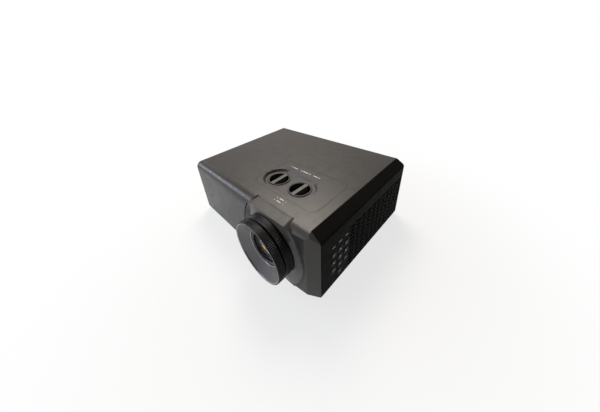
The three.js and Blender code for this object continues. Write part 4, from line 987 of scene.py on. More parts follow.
@dataclass
class ShiftControls:
    """The panel in the top, its recess, the two dials and their printed marks."""

    shop: Workshop
    dials: tuple[str, ...] = ("vertical_shift_dial", "horizontal_shift_dial")
    rim_radius: float = 26.0
    rim_width: float = 2.1
    line_width: float = 0.8
    collar_height: float = 0.9
    rib_radius: float = 22.9
    rib_count: int = 60
    rib_depth: float = 0.7
    rib_setback: float = 1.4
    pit_depth: float = 12.8
    lining_slope: float = 0.7
    lining_floor: float = 0.5
    panel_radius: float = 14.0
    seam_outside: float = 0.55
    seam_inside: float = 0.15
    seam_depth: float = 0.6
    seam_proud: float = 0.01
    rear_marks_y: float = 152.0
    front_marks_y: tuple[float, float] = (45.5, 37.0)

    def build(self) -> None:
        """Dresses the panel and dials and adds the ribs and marks."""
        self.shop.dress(Finishes.CASE, ["shift_panel"], 0.45)
        self.shop.dress(Finishes.DIAL, self.dials, 0.25)
        for name in self.dials:
            self.pit_lining(name)
            self.collar(name)
        self.seam()
        self.marks()

    def collar(self, name: str) -> None:
        """Rings a dial with a black edge, painted shade on its rim, and the thin grey line inside it.

        Args:
            name: The dial's node.
        """
        span = Span.of(name)
        top = span.high.z + PRINT_PROUD
        foot = top - self.collar_height
        middle = self.rim_radius - self.rim_width
        for label, outer, inner, finish in (("edge", self.rim_radius, middle, Finishes.SHADE_BLACK),
                                            ("line", middle, middle - self.line_width, Finishes.DIAL)):
            profile = [(outer, foot), (outer, top), (inner, top), (inner, foot)]
            form = Form.turned(profile, Plane.TOP, span.seat.x, span.seat.y, 64)
            self.shop.piece(f"{name}_{label}", form, name, finish)

    def seam(self) -> None:
        """Draws a black strip round the panel, painted shade in its joint, as wide as the two rounded edges
        make it look.
        """
        span = Span.of("shift_panel")
        low, high = TOP_Z - self.seam_depth, TOP_Z + self.seam_proud
        loops = []
        for grow, depth in ((self.seam_outside, low), (self.seam_outside, high),
                            (-self.seam_inside, high), (-self.seam_inside, low)):
            outline = rounded(span.low.x - grow, span.high.x + grow, span.low.y - grow, span.high.y + grow,
                              self.panel_radius + grow)
            loops.append([Plane.TOP.point(a, b, depth) for a, b in outline])
        self.shop.piece("panel_seam_painted_shade", Form.loft(loops, closed_row=True), "chassis", Finishes.SHADE_BLACK)

    def pit_lining(self, name: str) -> None:
        """Lines a dial's finger pits with fine upright ribs, near black as painted shade.

        Args:
            name: The dial's node.
        """
        span = Span.of(name)
        floor, top = span.high.z - self.pit_depth, span.high.z - self.rib_setback
        r, slope = self.rib_radius, self.lining_slope
        bottom = floor - self.lining_floor + 0.1
        profile = [(r - slope, floor + 0.1), (r, top), (r + slope, top), (r + slope - 0.3, bottom),
                   (0.0, bottom), (0.0, floor + 0.1)]
        teeth = Teeth(self.rib_count, -self.rib_depth, range(0, 2))
        form = Form.turned(profile, Plane.TOP, span.seat.x, span.seat.y, teeth=teeth)
        self.shop.piece(f"{name}_ribs", form, name, Finishes.SHADE_BLACK)

    def marks(self) -> None:
        """Prints the plain marks behind the recess and before the panel."""
        y = self.rear_marks_y
        rows = [(Mark.LEFT, 22.5, y, 4.2), (Mark.BAR, 34.0, y, 14.0), (Mark.UP, 53.5, y, 4.6),
                (Mark.BAR, 66.0, y, 16.0), (Mark.DOWN, 79.0, y, 4.6), (Mark.BAR, 96.0, y, 13.0),
                (Mark.RIGHT, 107.0, y, 4.6)]
        for y in self.front_marks_y:
            rows += [(Mark.LEFT, 85.5, y, 2.6), (Mark.BAR, 97.5, y, 12.0), (Mark.RIGHT, 109.5, y, 2.6)]
        form = Form()
        for mark, x, y, size in rows:
            form.add(mark_form(mark, size, Plane.TOP, x, y, TOP_Z))
        self.shop.piece("top_marks", form, "chassis", Finishes.PRINT)


@dataclass
class Surround:
    """The visor over the lens and the wall round it: two wide arcs, cut flat above and below.

    What changes round the surround is a table: pairs of degrees, measured from the right about the
    opening's middle, and y. The crest is the outer edge, the brow the dish's edge inside it, and the
    cone the wall round the bore. The groove is a depth under the brow, and the valley share says how far
    the valley lies from the brow towards the cone.
    """

    shop: Workshop
    middle: tuple[float, float] = (105.0, 79.0)
    arc_radius: float = 116.0
    arc_middle_z: float = 71.0
    opening: float = 61.0
    sweep_radius: float = 65.7
    sweep_low: tuple[float, float] = (101.5, 73.0)
    sweep_high: tuple[float, float] = (109.5, 85.0)
    steps: int = 26
    smooth: float = 26.0
    flare: float = 5.0
    flare_from_z: float = 118.0
    flare_rise: float = 37.0
    corner_reach: float = 7.0
    corner_draw: float = 1.5
    plate: float = 3.0
    plate_depth: float = 2.5
    plate_overlap: float = 0.6
    bore_y: float = 13.0
    # Insets of the hidden walls behind the crest and behind the dish: sideways, then from the bottom
    inner_wall: tuple[float, float] = (4.0, 1.4)
    inner_wall_y: float = 15.0
    back_rise: float = 2.5
    dish_back_inset: float = 4.4
    dish_back_y: float = 14.5
    dish_edge: tuple[float, float] = (4.2, 1.6)
    dish_thickness: float = 3.0
    crest: tuple[tuple[float, float], ...] = (
        (-180, -0.9), (-60, -0.9), (-38, 1.8), (-17, 3.0), (-5, 2.5), (8, 1.9), (21, 1.9), (37, 2.6),
        (45, 2.0), (52, 0.2), (57, -2.3), (85, -2.6), (105, -2.9), (126, -3.8), (129, -3.8), (149, -1.6),
        (164, -0.9), (180, -0.9))
    brow: tuple[tuple[float, float], ...] = (
        (-180, -0.3), (-60, -0.3), (-38, 2.2), (-17, 3.3), (8, 2.2), (37, 2.8), (52, 0.9), (57, -1.4),
        (85, -1.7), (105, -2.1), (118, -2.4), (127, -1.2), (131, 0.6), (149, -0.2), (180, -0.3))
    groove: tuple[tuple[float, float], ...] = (
        (-180, 3.0), (-150, 3.0), (-120, 0.0), (45, 0.0), (60, 1.2), (124, 1.4), (132, 4.0), (180, 3.0))
    valley: tuple[tuple[float, float], ...] = (
        (-180, -1.2), (-60, -1.4), (-38, 1.2), (-17, 2.3), (37, 1.6), (57, -1.8), (85, -2.3), (118, -2.7),
        (127, -0.8), (131, 1.4), (140, 6.0), (151, 11.0), (165, 6.0), (180, -1.2))
    valley_share: tuple[tuple[float, float], ...] = (
        (-180, 0.3), (-60, 0.2), (60, 0.2), (118, 0.2), (128, 0.15), (140, 0.55), (151, 0.86), (165, 0.9),
        (180, 0.3))
    cone: tuple[tuple[float, float], ...] = (
        (-180, -1.6), (-120, -2.6), (-60, -3.4), (128, -3.4), (140, -2.6), (151, 1.5), (165, 1.0),
        (180, -1.6))

    # Across the crest, from its outer foot inwards: the inset, how far its bottom and its top are set in,
    # the drop under the crest's line and the share of the flare
    crest_section: tuple[tuple[float, float, float, float, float], ...] = (
        (0.0, 0.0, 0.0, 2.4, 0.6), (0.9, 0.0, 0.0, 0.9, 1.0), (1.7, 0.0, 0.0, 0.15, 1.0),
        (2.3, 0.3, 0.25, 0.0, 1.0), (2.6, 0.5, 0.5, 0.1, 1.0))
    # Across the groove inside the crest: the inset and how far its bottom and top are set in
    groove_section: tuple[tuple[float, float], ...] = ((2.8, 0.7), (3.9, 1.2))
    # Where the dish rounds into the bore: how much wider than the bore, and the drop
    bore_section: tuple[tuple[float, float], ...] = ((1.4, 0.1), (0.4, 0.5), (0.0, 1.5))

    def build(self) -> None:
        """Makes the visor with its crest and plate, and the dished wall inside the crest."""
        span = Span.of("lens_surround")
        low, high = span.low.z, span.high.z
        back, plate_back = span.high.y - self.plate_depth, span.high.y
        rows = [[(a, back, b) for a, b in self.outline(0.0, low, high)]]
        for inset, rise, fall, sink, share in self.crest_section:
            outline = self.outline(inset, low + rise, high - fall, self.flare * share)
            rows.append(self.raised(outline, self.crest, sink))
        for inset, set_in in self.groove_section:
            rows.append(self.sunk(inset, low + set_in, high - set_in, self.flare))
        inset, set_in = self.inner_wall
        inner = self.outline(inset, low + set_in, high - set_in)
        rows.append([(x, self.inner_wall_y, z) for x, z in inner])
        rear = self.outline(self.plate, low + self.back_rise, high - self.plate)
        rows.append([(x, back, z) for x, z in rear])
        form = Form.loft([[place(*p) for p in row] for row in rows], closed_row=True)
        plate = self.outline(0.0, high - self.plate, high)
        form.add(Form.prism(plate, Plane.FRONT, back - self.plate_overlap, plate_back))
        self.shop.piece("lens_visor", form, "chassis", Finishes.VISOR, replaces=["lens_surround"],
                        smooth=self.smooth)
        self.dish(low, high)

    def dish(self, low: float, high: float) -> None:
        """Makes the wall that falls from the crest to the opening, with its valley at the upper left.

        Args:
            low: Height of the surround's bottom.
            high: Height of its top.
        """
        inset, set_in = self.groove_section[-1]
        rim = self.outline(inset, low + set_in, high - set_in, self.flare)
        inner = [self.swept(x, z) for x, z in rim]
        rows = [self.raised(rim, self.brow, 0.0)]
        rows.append([(x + (c - x) * self.looked_up(self.valley_share, x, z),
                      self.looked_up(self.valley, x, z),
                      z + (d - z) * self.looked_up(self.valley_share, x, z))
                     for (x, z), (c, d) in zip(rim, inner)])
        rows.append(self.raised(inner, self.cone, 0.0))
        for wider, sink in self.bore_section:
            edge = [self.spoke(x, z, self.opening + wider) for x, z in rim]
            rows.append(self.raised(edge, self.cone, sink))
        rows.append([(x, self.bore_y, z) for x, z in (self.spoke(*p, self.opening) for p in rim)])
        rear = self.outline(self.dish_back_inset, low + self.back_rise, high - self.plate)
        rows.append([(x, self.dish_back_y, z) for x, z in rear])
        inset, set_in = self.dish_edge
        under = self.outline(inset, low + set_in, high - set_in, self.flare)
        rows.append(self.raised(under, self.brow, self.dish_thickness))
        form = Form.loft([[place(*p) for p in row] for row in rows], closed_row=True)
        # the dish's lighter colour is painted light on the case's plastic
        self.shop.piece("lens_dish", form, "chassis", Finishes.DISH_PAINTED_LIGHTER, smooth=self.smooth)

    def sunk(self, inset: float, low: float, high: float,
             flare: float) -> list[tuple[float, float, float]]:
        """Gives an outline at the bottom of the groove that runs inside the crest.

        Args:
            inset: How far the outline is drawn in.
            low: Height of its bottom.
            high: Height of its top.
            flare: How far its right side flares out at the top.

        Returns:
            The points in x, y and z.
        """
        return [(x, self.looked_up(self.brow, x, z) + self.looked_up(self.groove, x, z), z)
                for x, z in self.outline(inset, low, high, flare)]

    def outline(self, inset: float, low: float, high: float, flare: float = 0.0) -> Outline:
        """Gives the surround's outline in x and z, drawn in by an inset, with the same count always.

        Args:
            inset: How far the outline is drawn in.
            low: Height of its bottom.
            high: Height of its top.
            flare: How far its right side flares out at the top.

        Returns:
            The points in x and z.
        """
        span = Span.of("lens_surround")
        half = span.half.x - inset
        points: Outline = []
        for side in (1, -1):
            for k in range(self.steps + 1):
                share = k / self.steps if side > 0 else 1 - k / self.steps
                z = low + (high - low) * share
                points.append((self.arc_x(side, half, z, flare) - side * self.eased(high - z), z))
            level = high if side > 0 else low
            start, end = self.arc_x(side, half, level, flare), self.arc_x(-side, half, level, flare)
            for k in range(1, self.steps):
                x = start + (end - start) * k / self.steps
                drop = self.eased(min(abs(x - start), abs(x - end))) if side > 0 else 0.0
                points.append((x, level - drop))
        for corner in (self.steps, 2 * self.steps):
            x, z = points[corner]
            points[corner] = (x, z - self.eased(0.0))
        return points

    def eased(self, distance: float) -> float:
        """Gives how far the outline is drawn in at a distance from a corner, to round it."""
        return self.corner_draw * max(0.0, 1 - distance / self.corner_reach) ** 2

    def arc_x(self, side: int, half: float, z: float, flare: float = 0.0) -> float:
        """Gives the outline's x on one side at a height; the right one flares out beside the visor.

        Args:
            side: 1 for the right side and -1 for the left.
            half: Half the outline's width.
            z: The height.
            flare: How far the right side flares out at the top.

        Returns:
            The x.
        """
        bow = math.sqrt(self.arc_radius ** 2 - (z - self.arc_middle_z) ** 2) - self.arc_radius
        wider = flare * smooth_step((z - self.flare_from_z) / self.flare_rise) if side > 0 else 0.0
        return Span.of("lens_surround").middle.x + side * (half + bow) + wider

    def swept(self, x: float, z: float) -> tuple[float, float]:
        """Gives the point nearest to the edge of the space that the ring sweeps as the lens shifts.

        Args:
            x: First coordinate of the point.
            z: Height of the point.

        Returns:
            The x and z of the nearest point.
        """
        core = (min(max(x, self.sweep_low[0]), self.sweep_high[0]),
                min(max(z, self.sweep_low[1]), self.sweep_high[1]))
        away = Vector((x - core[0], z - core[1])).normalized() * self.sweep_radius
        return (core[0] + away.x, core[1] + away.y)

    def spoke(self, x: float, z: float, radius: float) -> tuple[float, float]:
        """Gives the point at a radius about the opening's middle, towards (x, z).

        Args:
            x: First coordinate of the point.
            z: Height of the point.
            radius: The radius.

        Returns:
            The x and z of the point.
        """
        away = Vector((x - self.middle[0], z - self.middle[1])).normalized() * radius
        return (self.middle[0] + away.x, self.middle[1] + away.y)

    def raised(self, outline: Outline, table: tuple[tuple[float, float], ...],
               sink: float) -> list[tuple[float, float, float]]:
        """Sets an outline to the depths that a table gives by angle, sunk by a little more."""
        return [(x, self.looked_up(table, x, z) + sink, z) for x, z in outline]

    def looked_up(self, table: tuple[tuple[float, float], ...], x: float, z: float) -> float:
        """Reads a table at a point's angle, in a straight line between its entries.

        Args:
            table: Pairs of angle in degrees and value.
            x: First coordinate of the point.
            z: Height of the point.

        Returns:
            The value.
        """
        angle = math.degrees(math.atan2(z - self.middle[1], x - self.middle[0]))
        for (start, low), (end, high) in zip(table, table[1:]):
            if angle <= end:
                return low + (high - low) * (angle - start) / (end - start)
        return table[-1][1]


@dataclass
class LensHead:
    """The two knurled rings, the barrel and its glass."""

    shop: Workshop
    ridge_count: int = 116
    ridge_depth: float = 0.85
    throat_radius: float = 38.5
    throat_y: float = -23.0
    hub_radius: float = 50.5
    band_back: float = -24.0
    zoom_lip_radius: float = 52.0
    zoom_hub_front: float = -17.0
    zoom_band_back: float = -4.0
    zoom_bore: float = 45.8
    slot_half_width: float = 0.9
    slot_half_height: float = 1.8
    dome_steps: int = 28
    # Each dome's radius, the y of its middle and how far its edge lies behind that
    front_face: tuple[float, float, float] = (34.3, -24.1, 4.7)
    front_rear_face: tuple[float, float, float] = (34.3, -22.3, 3.9)
    coated_face: tuple[float, float, float] = (28.9, -20.6, 6.6)
    coated_back: float = -9.2
    # The black ring between the two: radius and y, round its section
    baffle: tuple[tuple[float, float], ...] = (
        (34.0, -18.0), (34.0, -9.0), (29.0, -9.0), (29.4, -14.0), (31.0, -17.6))

    def build(self) -> None:
        """Dresses the barrel and makes the rings and the glass."""
        self.shop.dress(Finishes.ANODISED, ["lens_barrel"], 0.2)
        self.focus_ring()
        self.zoom_ring()
        self.retaining_ring()
        self.glass()

    def turn(self, name: str, profile: Sequence[tuple[float, float]], body: str, finish: Finish,
             teeth: Teeth | None = None, replaces: Iterable[str] = (), steps: int = 128) -> None:
        """Makes one piece turned about the lens axis from pairs of radius and y.

        Args:
            name: Name of the piece.
            profile: Pairs of radius and y.
            body: The body that it rides on.
            finish: Its finish.
            teeth: Its ridges, if it has them.
            replaces: Nodes that it stands for.
            steps: Segments round the axis, where there are no teeth.
        """
        x, z = lens_axis()
        form = Form.turned(profile, Plane.FRONT, x, z, steps, teeth)
        self.shop.piece(name, form, body, finish, replaces=replaces)

    def focus_ring(self) -> None:
        """Makes the hood: a knurled band, a thin lip and a conical bell."""
        span = Span.of("focus_ring")
        r, front, hub_back = span.half.x, span.low.y, span.high.y
        back, throat = self.band_back, self.throat_radius
        # The rounded front lip, the ridged stretch, the rounded back edge, then the hub and the cone's back
        band = [(r - 3.0, front + 0.7), (r - 2.3, front + 0.1), (r - 1.3, front), (r - 0.6, front + 0.35),
                (r - 0.25, front + 0.9), (r - 0.25, front + 1.5), (r, front + 1.8), (r, back - 1.2),
                (r - 0.3, back - 0.9), (r - 0.8, back - 0.2), (r - 1.6, back), (self.hub_radius, back),
                (self.hub_radius, hub_back), (throat + 2, hub_back), (throat + 2, hub_back - 1.4),
                (r - 4.4, front + 3.0)]
        teeth = Teeth(self.ridge_count, self.ridge_depth, range(6, 8))
        self.turn("focus_ring_band", band, "focus_ring", Finishes.KNURL, teeth, ["focus_ring"])
        edge = [(r - 3.6, front + 0.9), (r - 3.5, front + 0.3), (r - 3.1, front + 0.02), (r - 2.6, front),
                (r - 2.4, front + 0.9)]
        self.turn("hood_edge", edge, "focus_ring", Finishes.EDGE)
        # The lip rolls into the cone, which rounds into the throat and comes back under itself
        lip = [(r - 3.3, front + 0.62), (r - 3.5, front + 0.95), (r - 3.9, front + 1.7)]
        bell = lip + [(r - 6.0, front + 3.4), (throat + 4.2, self.throat_y - 1.6),
                      (throat + 2.8, self.throat_y - 0.75), (throat + 1.4, self.throat_y - 0.35),
                      (throat + 0.4, self.throat_y), (throat, self.throat_y + 0.6),
                      (throat, self.throat_y + 1.4), (throat + 2.6, self.throat_y + 1.5),
                      (r - 4.0, front + 3.4)]
        self.turn("hood_bell", bell, "focus_ring", Finishes.BELL)
        throat_edge = [(throat + 1.1, self.throat_y - 0.34), (throat + 0.5, self.throat_y - 0.12),
                       (throat + 0.7, self.throat_y + 0.5), (throat + 1.3, self.throat_y + 0.3)]
        self.turn("throat_edge", throat_edge, "focus_ring", Finishes.EDGE)

    def zoom_ring(self) -> None:
        """Makes the second knurled ring with the sleeve behind it."""
        span = Span.of("zoom_ring")
        r, front, sleeve_back = span.half.x, span.low.y, span.high.y
        back, sleeve = self.zoom_band_back, self.zoom_lip_radius
        # The hub, the rounded front edge, the ridged stretch, the smooth sunk rear and the sleeve
        profile = [(self.zoom_bore, self.zoom_hub_front), (sleeve, self.zoom_hub_front), (sleeve, front),
                   (r - 1.8, front), (r - 0.8, front + 0.4), (r - 0.3, front + 1.0),
                   (r, front + 1.3), (r, back - 5.6), (r - 0.9, back - 5.2), (r - 1.2, back - 1.2),
                   (r - 1.6, back - 0.3), (r - 2.2, back), (sleeve, back), (sleeve, sleeve_back),
                   (self.zoom_bore, sleeve_back)]
        teeth = Teeth(self.ridge_count, self.ridge_depth, range(6, 8))
        self.turn("zoom_ring_band", profile, "zoom_ring", Finishes.KNURL, teeth, ["zoom_ring"])

    def retaining_ring(self) -> None:
        """Makes the ring that holds the front element, with rounded inner lip and two key slots painted on
        its face as thin black patches of shade.
        """
        span = Span.of("retaining_ring")
        r, front = span.half.x, span.low.y
        profile = [(r, front), (r, front + 3), (r - 4.0, front + 3), (r - 4.0, front + 1.4),
                   (r - 3.5, front + 0.5), (r - 2.7, front)]
        self.turn("glass_retaining_ring", profile, "lens", Finishes.DARK_RING, replaces=["retaining_ring"])
        axis_x, axis_z = lens_axis()
        for side, label in ((-1, "left"), (1, "right")):
            x = axis_x + side * (r - 1.4)
            outline = rounded(x - self.slot_half_width, x + self.slot_half_width,
                              axis_z - self.slot_half_height, axis_z + self.slot_half_height, 0.4, 3)
            slot = Form.prism(outline, Plane.FRONT, front - 0.04, front + 0.4)
            self.shop.piece(f"ring_key_slot_{label}", slot, "lens", Finishes.SHADE_BLACK)

    def dome(self, radius: float, y: float, drop: float) -> list[tuple[float, float]]:
        """Gives the section of a lens face, from its middle to its edge."""
        shares = [k / self.dome_steps for k in range(self.dome_steps + 1)]
        return [(radius * share, y + drop * share ** 2) for share in shares]

    def glass(self) -> None:
        """Makes the clear front element and, behind it, the baffle and the tinted element with its painted
        reflections.
        """
        front = self.dome(*self.front_face) + self.dome(*self.front_rear_face)[::-1]
        self.turn("front_element", front, "lens", Finishes.GLASS, replaces=["front_lens"])
        self.turn("front_baffle", self.baffle, "lens", Finishes.ANODISED)
        back = [(self.coated_face[0], self.coated_back), (0.0, self.coated_back)]
        self.turn("coated_element_painted_reflections", self.dome(*self.coated_face) + back, "lens", Finishes.COATED_PAINTED_REFLECTIONS)
        self.shop.dress(Finishes.GLASS, ["rear_lens"])


@dataclass
class SideControls:
    """The keypad and the indicators in the right side."""

    shop: Workshop
    flange: float = 1.2
    flange_thickness: float = 1.5
    mark_size: float = 5.8
    marks: tuple[Mark, ...] = (Mark.POWER, Mark.UP, Mark.BARS, Mark.LEFT, Mark.RING, Mark.RIGHT, Mark.TURN,
                               Mark.DOWN, Mark.PLUS, Mark.BAR)

    def build(self) -> None:
        """Makes the keys with their marks, and the indicators."""
        for number, mark in enumerate(self.marks, 1):
            self.key(f"key_{number}", mark)
        for number in range(1, 4):
            self.indicator(f"indicator_{number}")

    def key(self, name: str, mark: Mark) -> None:
        """Makes one key with a crowned cap, and prints its mark.

        Args:
            name: The key's node.
            mark: The mark on it.
        """
        span = Span.of(name)
        y, z, foot, top = span.middle.y, span.middle.z, span.low.x, span.high.x
        w, h = span.half.y, span.half.z
        cap_w, cap_h = w - self.flange, h - self.flange
        step = foot + self.flange_thickness
        outlines = [(w, h, foot), (w, h, step), (cap_w, cap_h, step), (cap_w, cap_h, top - 0.9),
                    (cap_w - 0.3, cap_h - 0.3, top - 0.4), (cap_w - 1.0, cap_h - 1.0, top - 0.15),
                    (cap_w * 0.45, cap_h * 0.45, top - 0.06)]
        loops = [[Plane.SIDE.point(a, b, depth)
                  for a, b in rounded(y - half_y, y + half_y, z - half_z, z + half_z, half_z * 0.22)]
                 for half_y, half_z, depth in outlines]
        self.shop.piece(f"{name}_cap", Form.loft(loops), name, Finishes.KEY, replaces=[name])
        print_form = mark_form(mark, self.mark_size, Plane.SIDE, y, z, top - PRINT_PROUD)
        self.shop.piece(f"{name}_mark", print_form, name, Finishes.PRINT)

    def indicator(self, name: str) -> None:
        """Makes one light bar with rounded ends.

        Args:
            name: The indicator's node.
        """
        span = Span.of(name)
        outline = rounded(span.low.y, span.high.y, span.low.z, span.high.z, span.half.z * 0.9)
        form = Form.prism(outline, Plane.SIDE, span.low.x, span.high.x)
        self.shop.piece(f"{name}_light", form, "chassis", Finishes.LIGHT, 0.15, [name])


@dataclass
class RearSockets:
    """The rear panel with its sockets, inlet and switch."""

    shop: Workshop
    sockets: tuple[str, ...] = ("hdmi_socket_1", "hdmi_socket_2", "computer_socket", "serial_socket",
                                "network_socket", "usb_socket")
    jacks: tuple[str, ...] = ("audio_in_jack", "audio_out_jack", "video_jack")
    contact_front: float = 329.0
    tongue_back: float = 339.5
    pin_back: float = 337.5
    # Name, socket, height over the socket's middle, width and thickness of each tongue
    tongues: tuple[tuple[str, str, float, float, float], ...] = (
        ("hdmi_tongue_1", "hdmi_socket_1", 0.3, 10.0, 1.5),
        ("hdmi_tongue_2", "hdmi_socket_2", 0.3, 10.0, 1.5),
        ("usb_tongue", "usb_socket", 1.2, 10.5, 1.6))
    collar_sizes: tuple[tuple[str, str, float], ...] = (
        ("audio_in", "audio_in_jack", 4.6), ("audio_out", "audio_out_jack", 4.6),
        ("video_in", "video_jack", 4.2))
    collar_thickness: float = 0.6
    collar_proud: float = 1.0
    screw_places: tuple[tuple[float, float], ...] = (
        (-198, 140), (0, 140), (180, 140), (-198, 14), (0, 14), (198, 14))
    screw_radius: float = 3.0
    post_reach: float = 14.6
    post_radius: float = 2.7
    post_proud: float = 3.4
    switch_mark: float = 3.4
    on_mark_rise: float = 14.5
    off_mark_fall: float = 14.0

    def build(self) -> None:
        """Dresses the sockets and adds tongues, pins, collars and screws."""
        self.shop.dress(Finishes.BLACK, ["rear_panel", "power_inlet", "switch_housing", "power_rocker"], 0.3)
        self.shop.dress(Finishes.PLATED, self.sockets, 0.15)
        self.shop.dress(Finishes.BLACK, self.jacks, 0.1)
        for name, socket, rise, width, height in self.tongues:
            self.tongue(name, socket, rise, width, height)
        self.pins("computer_pins", "computer_socket", 0.0, (5, 5, 5), 2.3, 2.4, 0.55)
        self.pins("serial_pins", "serial_socket", 0.0, (4, 5), 2.77, 2.84, 0.6)
        self.pins("network_contacts", "network_socket", 2.6, (8,), 1.02, 1.0, 0.3)
        self.collars()
        self.screws()
        self.rocker_marks()

    def tongue(self, name: str, socket: str, rise: float, width: float, height: float) -> None:
        """Makes the contact tongue inside a flat socket.

        Args:
            name: Name of the piece.
            socket: The socket's node.
            rise: Height over the socket's middle.
            width: Width of the tongue.
            height: Its thickness.
        """
        seat = Span.of(socket).seat
        z = seat.z + rise
        outline = rounded(seat.x - width / 2, seat.x + width / 2, z - height / 2, z + height / 2, 0.4, 3)
        form = Form.prism(outline, Plane.FRONT, self.contact_front, self.tongue_back)
        self.shop.piece(name, form, "chassis", Finishes.BLACK, 0.1)

    def pins(self, name: str, socket: str, lift: float, rows: Sequence[int], pitch: float, rise: float,
             radius: float) -> None:
        """Makes the rows of contacts inside a socket.

        Args:
            name: Name of the piece.
            socket: The socket's node.
            lift: Height over the socket's middle.
            rows: Count of contacts in each row, from the top.
            pitch: Distance between two contacts.
            rise: Distance between two rows.
            radius: Radius of a contact.
        """
        seat = Span.of(socket).seat
        form = Form()
        for row, count in enumerate(rows):
            level = seat.z + lift + ((len(rows) - 1) / 2 - row) * rise
            for k in range(count):
                outline = circle(seat.x + (k - (count - 1) / 2) * pitch, level, radius, 10)
                form.add(Form.prism(outline, Plane.FRONT, self.contact_front, self.pin_back))
        self.shop.piece(name, form, "chassis", Finishes.COPPER)

    def collars(self) -> None:
        """Sets a plated collar round each round jack."""
        for name, jack, radius in self.collar_sizes:
            seat = Span.of(jack).seat
            inner, outer = radius + 0.05, radius + self.collar_thickness
            profile = [(outer, REAR_Y + 0.02), (outer, REAR_Y + 0.7), (inner, REAR_Y + self.collar_proud),
                       (inner, REAR_Y + 0.02)]
            form = Form.turned(profile, Plane.FRONT, seat.x, seat.z, 32)
            self.shop.piece(f"{name}_collar", form, "chassis", Finishes.PLATED)

    def screws(self) -> None:
        """Fixes the rear panel with screws and sets hexagon posts beside the pinned sockets."""
        for number, (x, z) in enumerate(self.screw_places, 1):
            screw = cross_screw(Plane.FRONT, x, z, REAR_Y, 1.0, self.screw_radius)
            self.shop.piece(f"rear_screw_{number}", screw, "chassis", Finishes.SCREW, 0.1)
        for name in ("computer", "serial"):
            seat = Span.of(f"{name}_socket").seat
            for side, label in ((-1, "left"), (1, "right")):
                outline = circle(seat.x + side * self.post_reach, seat.z, self.post_radius, 6)
                post = Form.prism(outline, Plane.FRONT, REAR_Y - 0.5, REAR_Y + self.post_proud)
                self.shop.piece(f"{name}_post_{label}", post, "chassis", Finishes.PLATED, 0.25)

    def rocker_marks(self) -> None:
        """Prints the on and off marks above and below the rocker, on the panel."""
        seat = Span.of("switch_housing").seat
        off_z, on_z = seat.z - self.off_mark_fall, seat.z + self.on_mark_rise
        form = mark_form(Mark.RING, self.switch_mark, Plane.FRONT, seat.x, off_z, REAR_Y)
        form.add(mark_form(Mark.BAR, self.switch_mark, Plane.FRONT, seat.x, on_z, REAR_Y))
        self.shop.piece("switch_marks", form, "chassis", Finishes.PRINT)


@dataclass
class Insides:
    """What the case holds, seen through its openings and when it is opened."""

    shop: Workshop

    def build(self) -> None:
        """Dresses the inner nodes."""
        self.shop.dress(Finishes.CASTING, ["optical_engine", "lamp_module"], 0.6)
        self.shop.dress(Finishes.ALLOY, ["lens_mount_frame", "vertical_carriage", "horizontal_carriage",
                                         "power_supply"], 0.3)
        self.shop.dress(Finishes.BOARD, ["main_board", "keypad_board"])
        self.shop.dress(Finishes.NYLON, ["air_filter", "intake_fan_frame", "intake_fan_rotor",
                                         "exhaust_fan_frame", "exhaust_fan_rotor", "speaker"], 0.3)
        self.shop.dress(Finishes.GLASS, ["prism_block"], 0.3)


@dataclass
class Feet:
    """Four rubber feet; the front two screw out."""

    shop: Workshop
    bodies: tuple[tuple[str, str], ...] = (
        ("front_left_foot", "front_left_foot"), ("front_right_foot", "front_right_foot"),
        ("rear_left_foot", "chassis"), ("rear_right_foot", "chassis"))
    rib_count: int = 40
    rib_depth: float = 0.5
    # Section of the ribbed band: radius and height
    band: tuple[tuple[float, float], ...] = ((13.5, -6.4), (15.0, -6.2), (15.0, -3.6), (13.5, -3.4))

    def build(self) -> None:
        """Dresses the feet and rings each pad with grip ribs."""
        self.shop.dress(Finishes.RUBBER, [name for name, _ in self.bodies], 0.4)
        for name, body in self.bodies:
            seat = Span.of(name).seat
            teeth = Teeth(self.rib_count, self.rib_depth, range(1, 3))
            form = Form.turned(self.band, Plane.TOP, seat.x, seat.y, teeth=teeth)
            self.shop.piece(f"{name}_grip", form, body, Finishes.RUBBER)


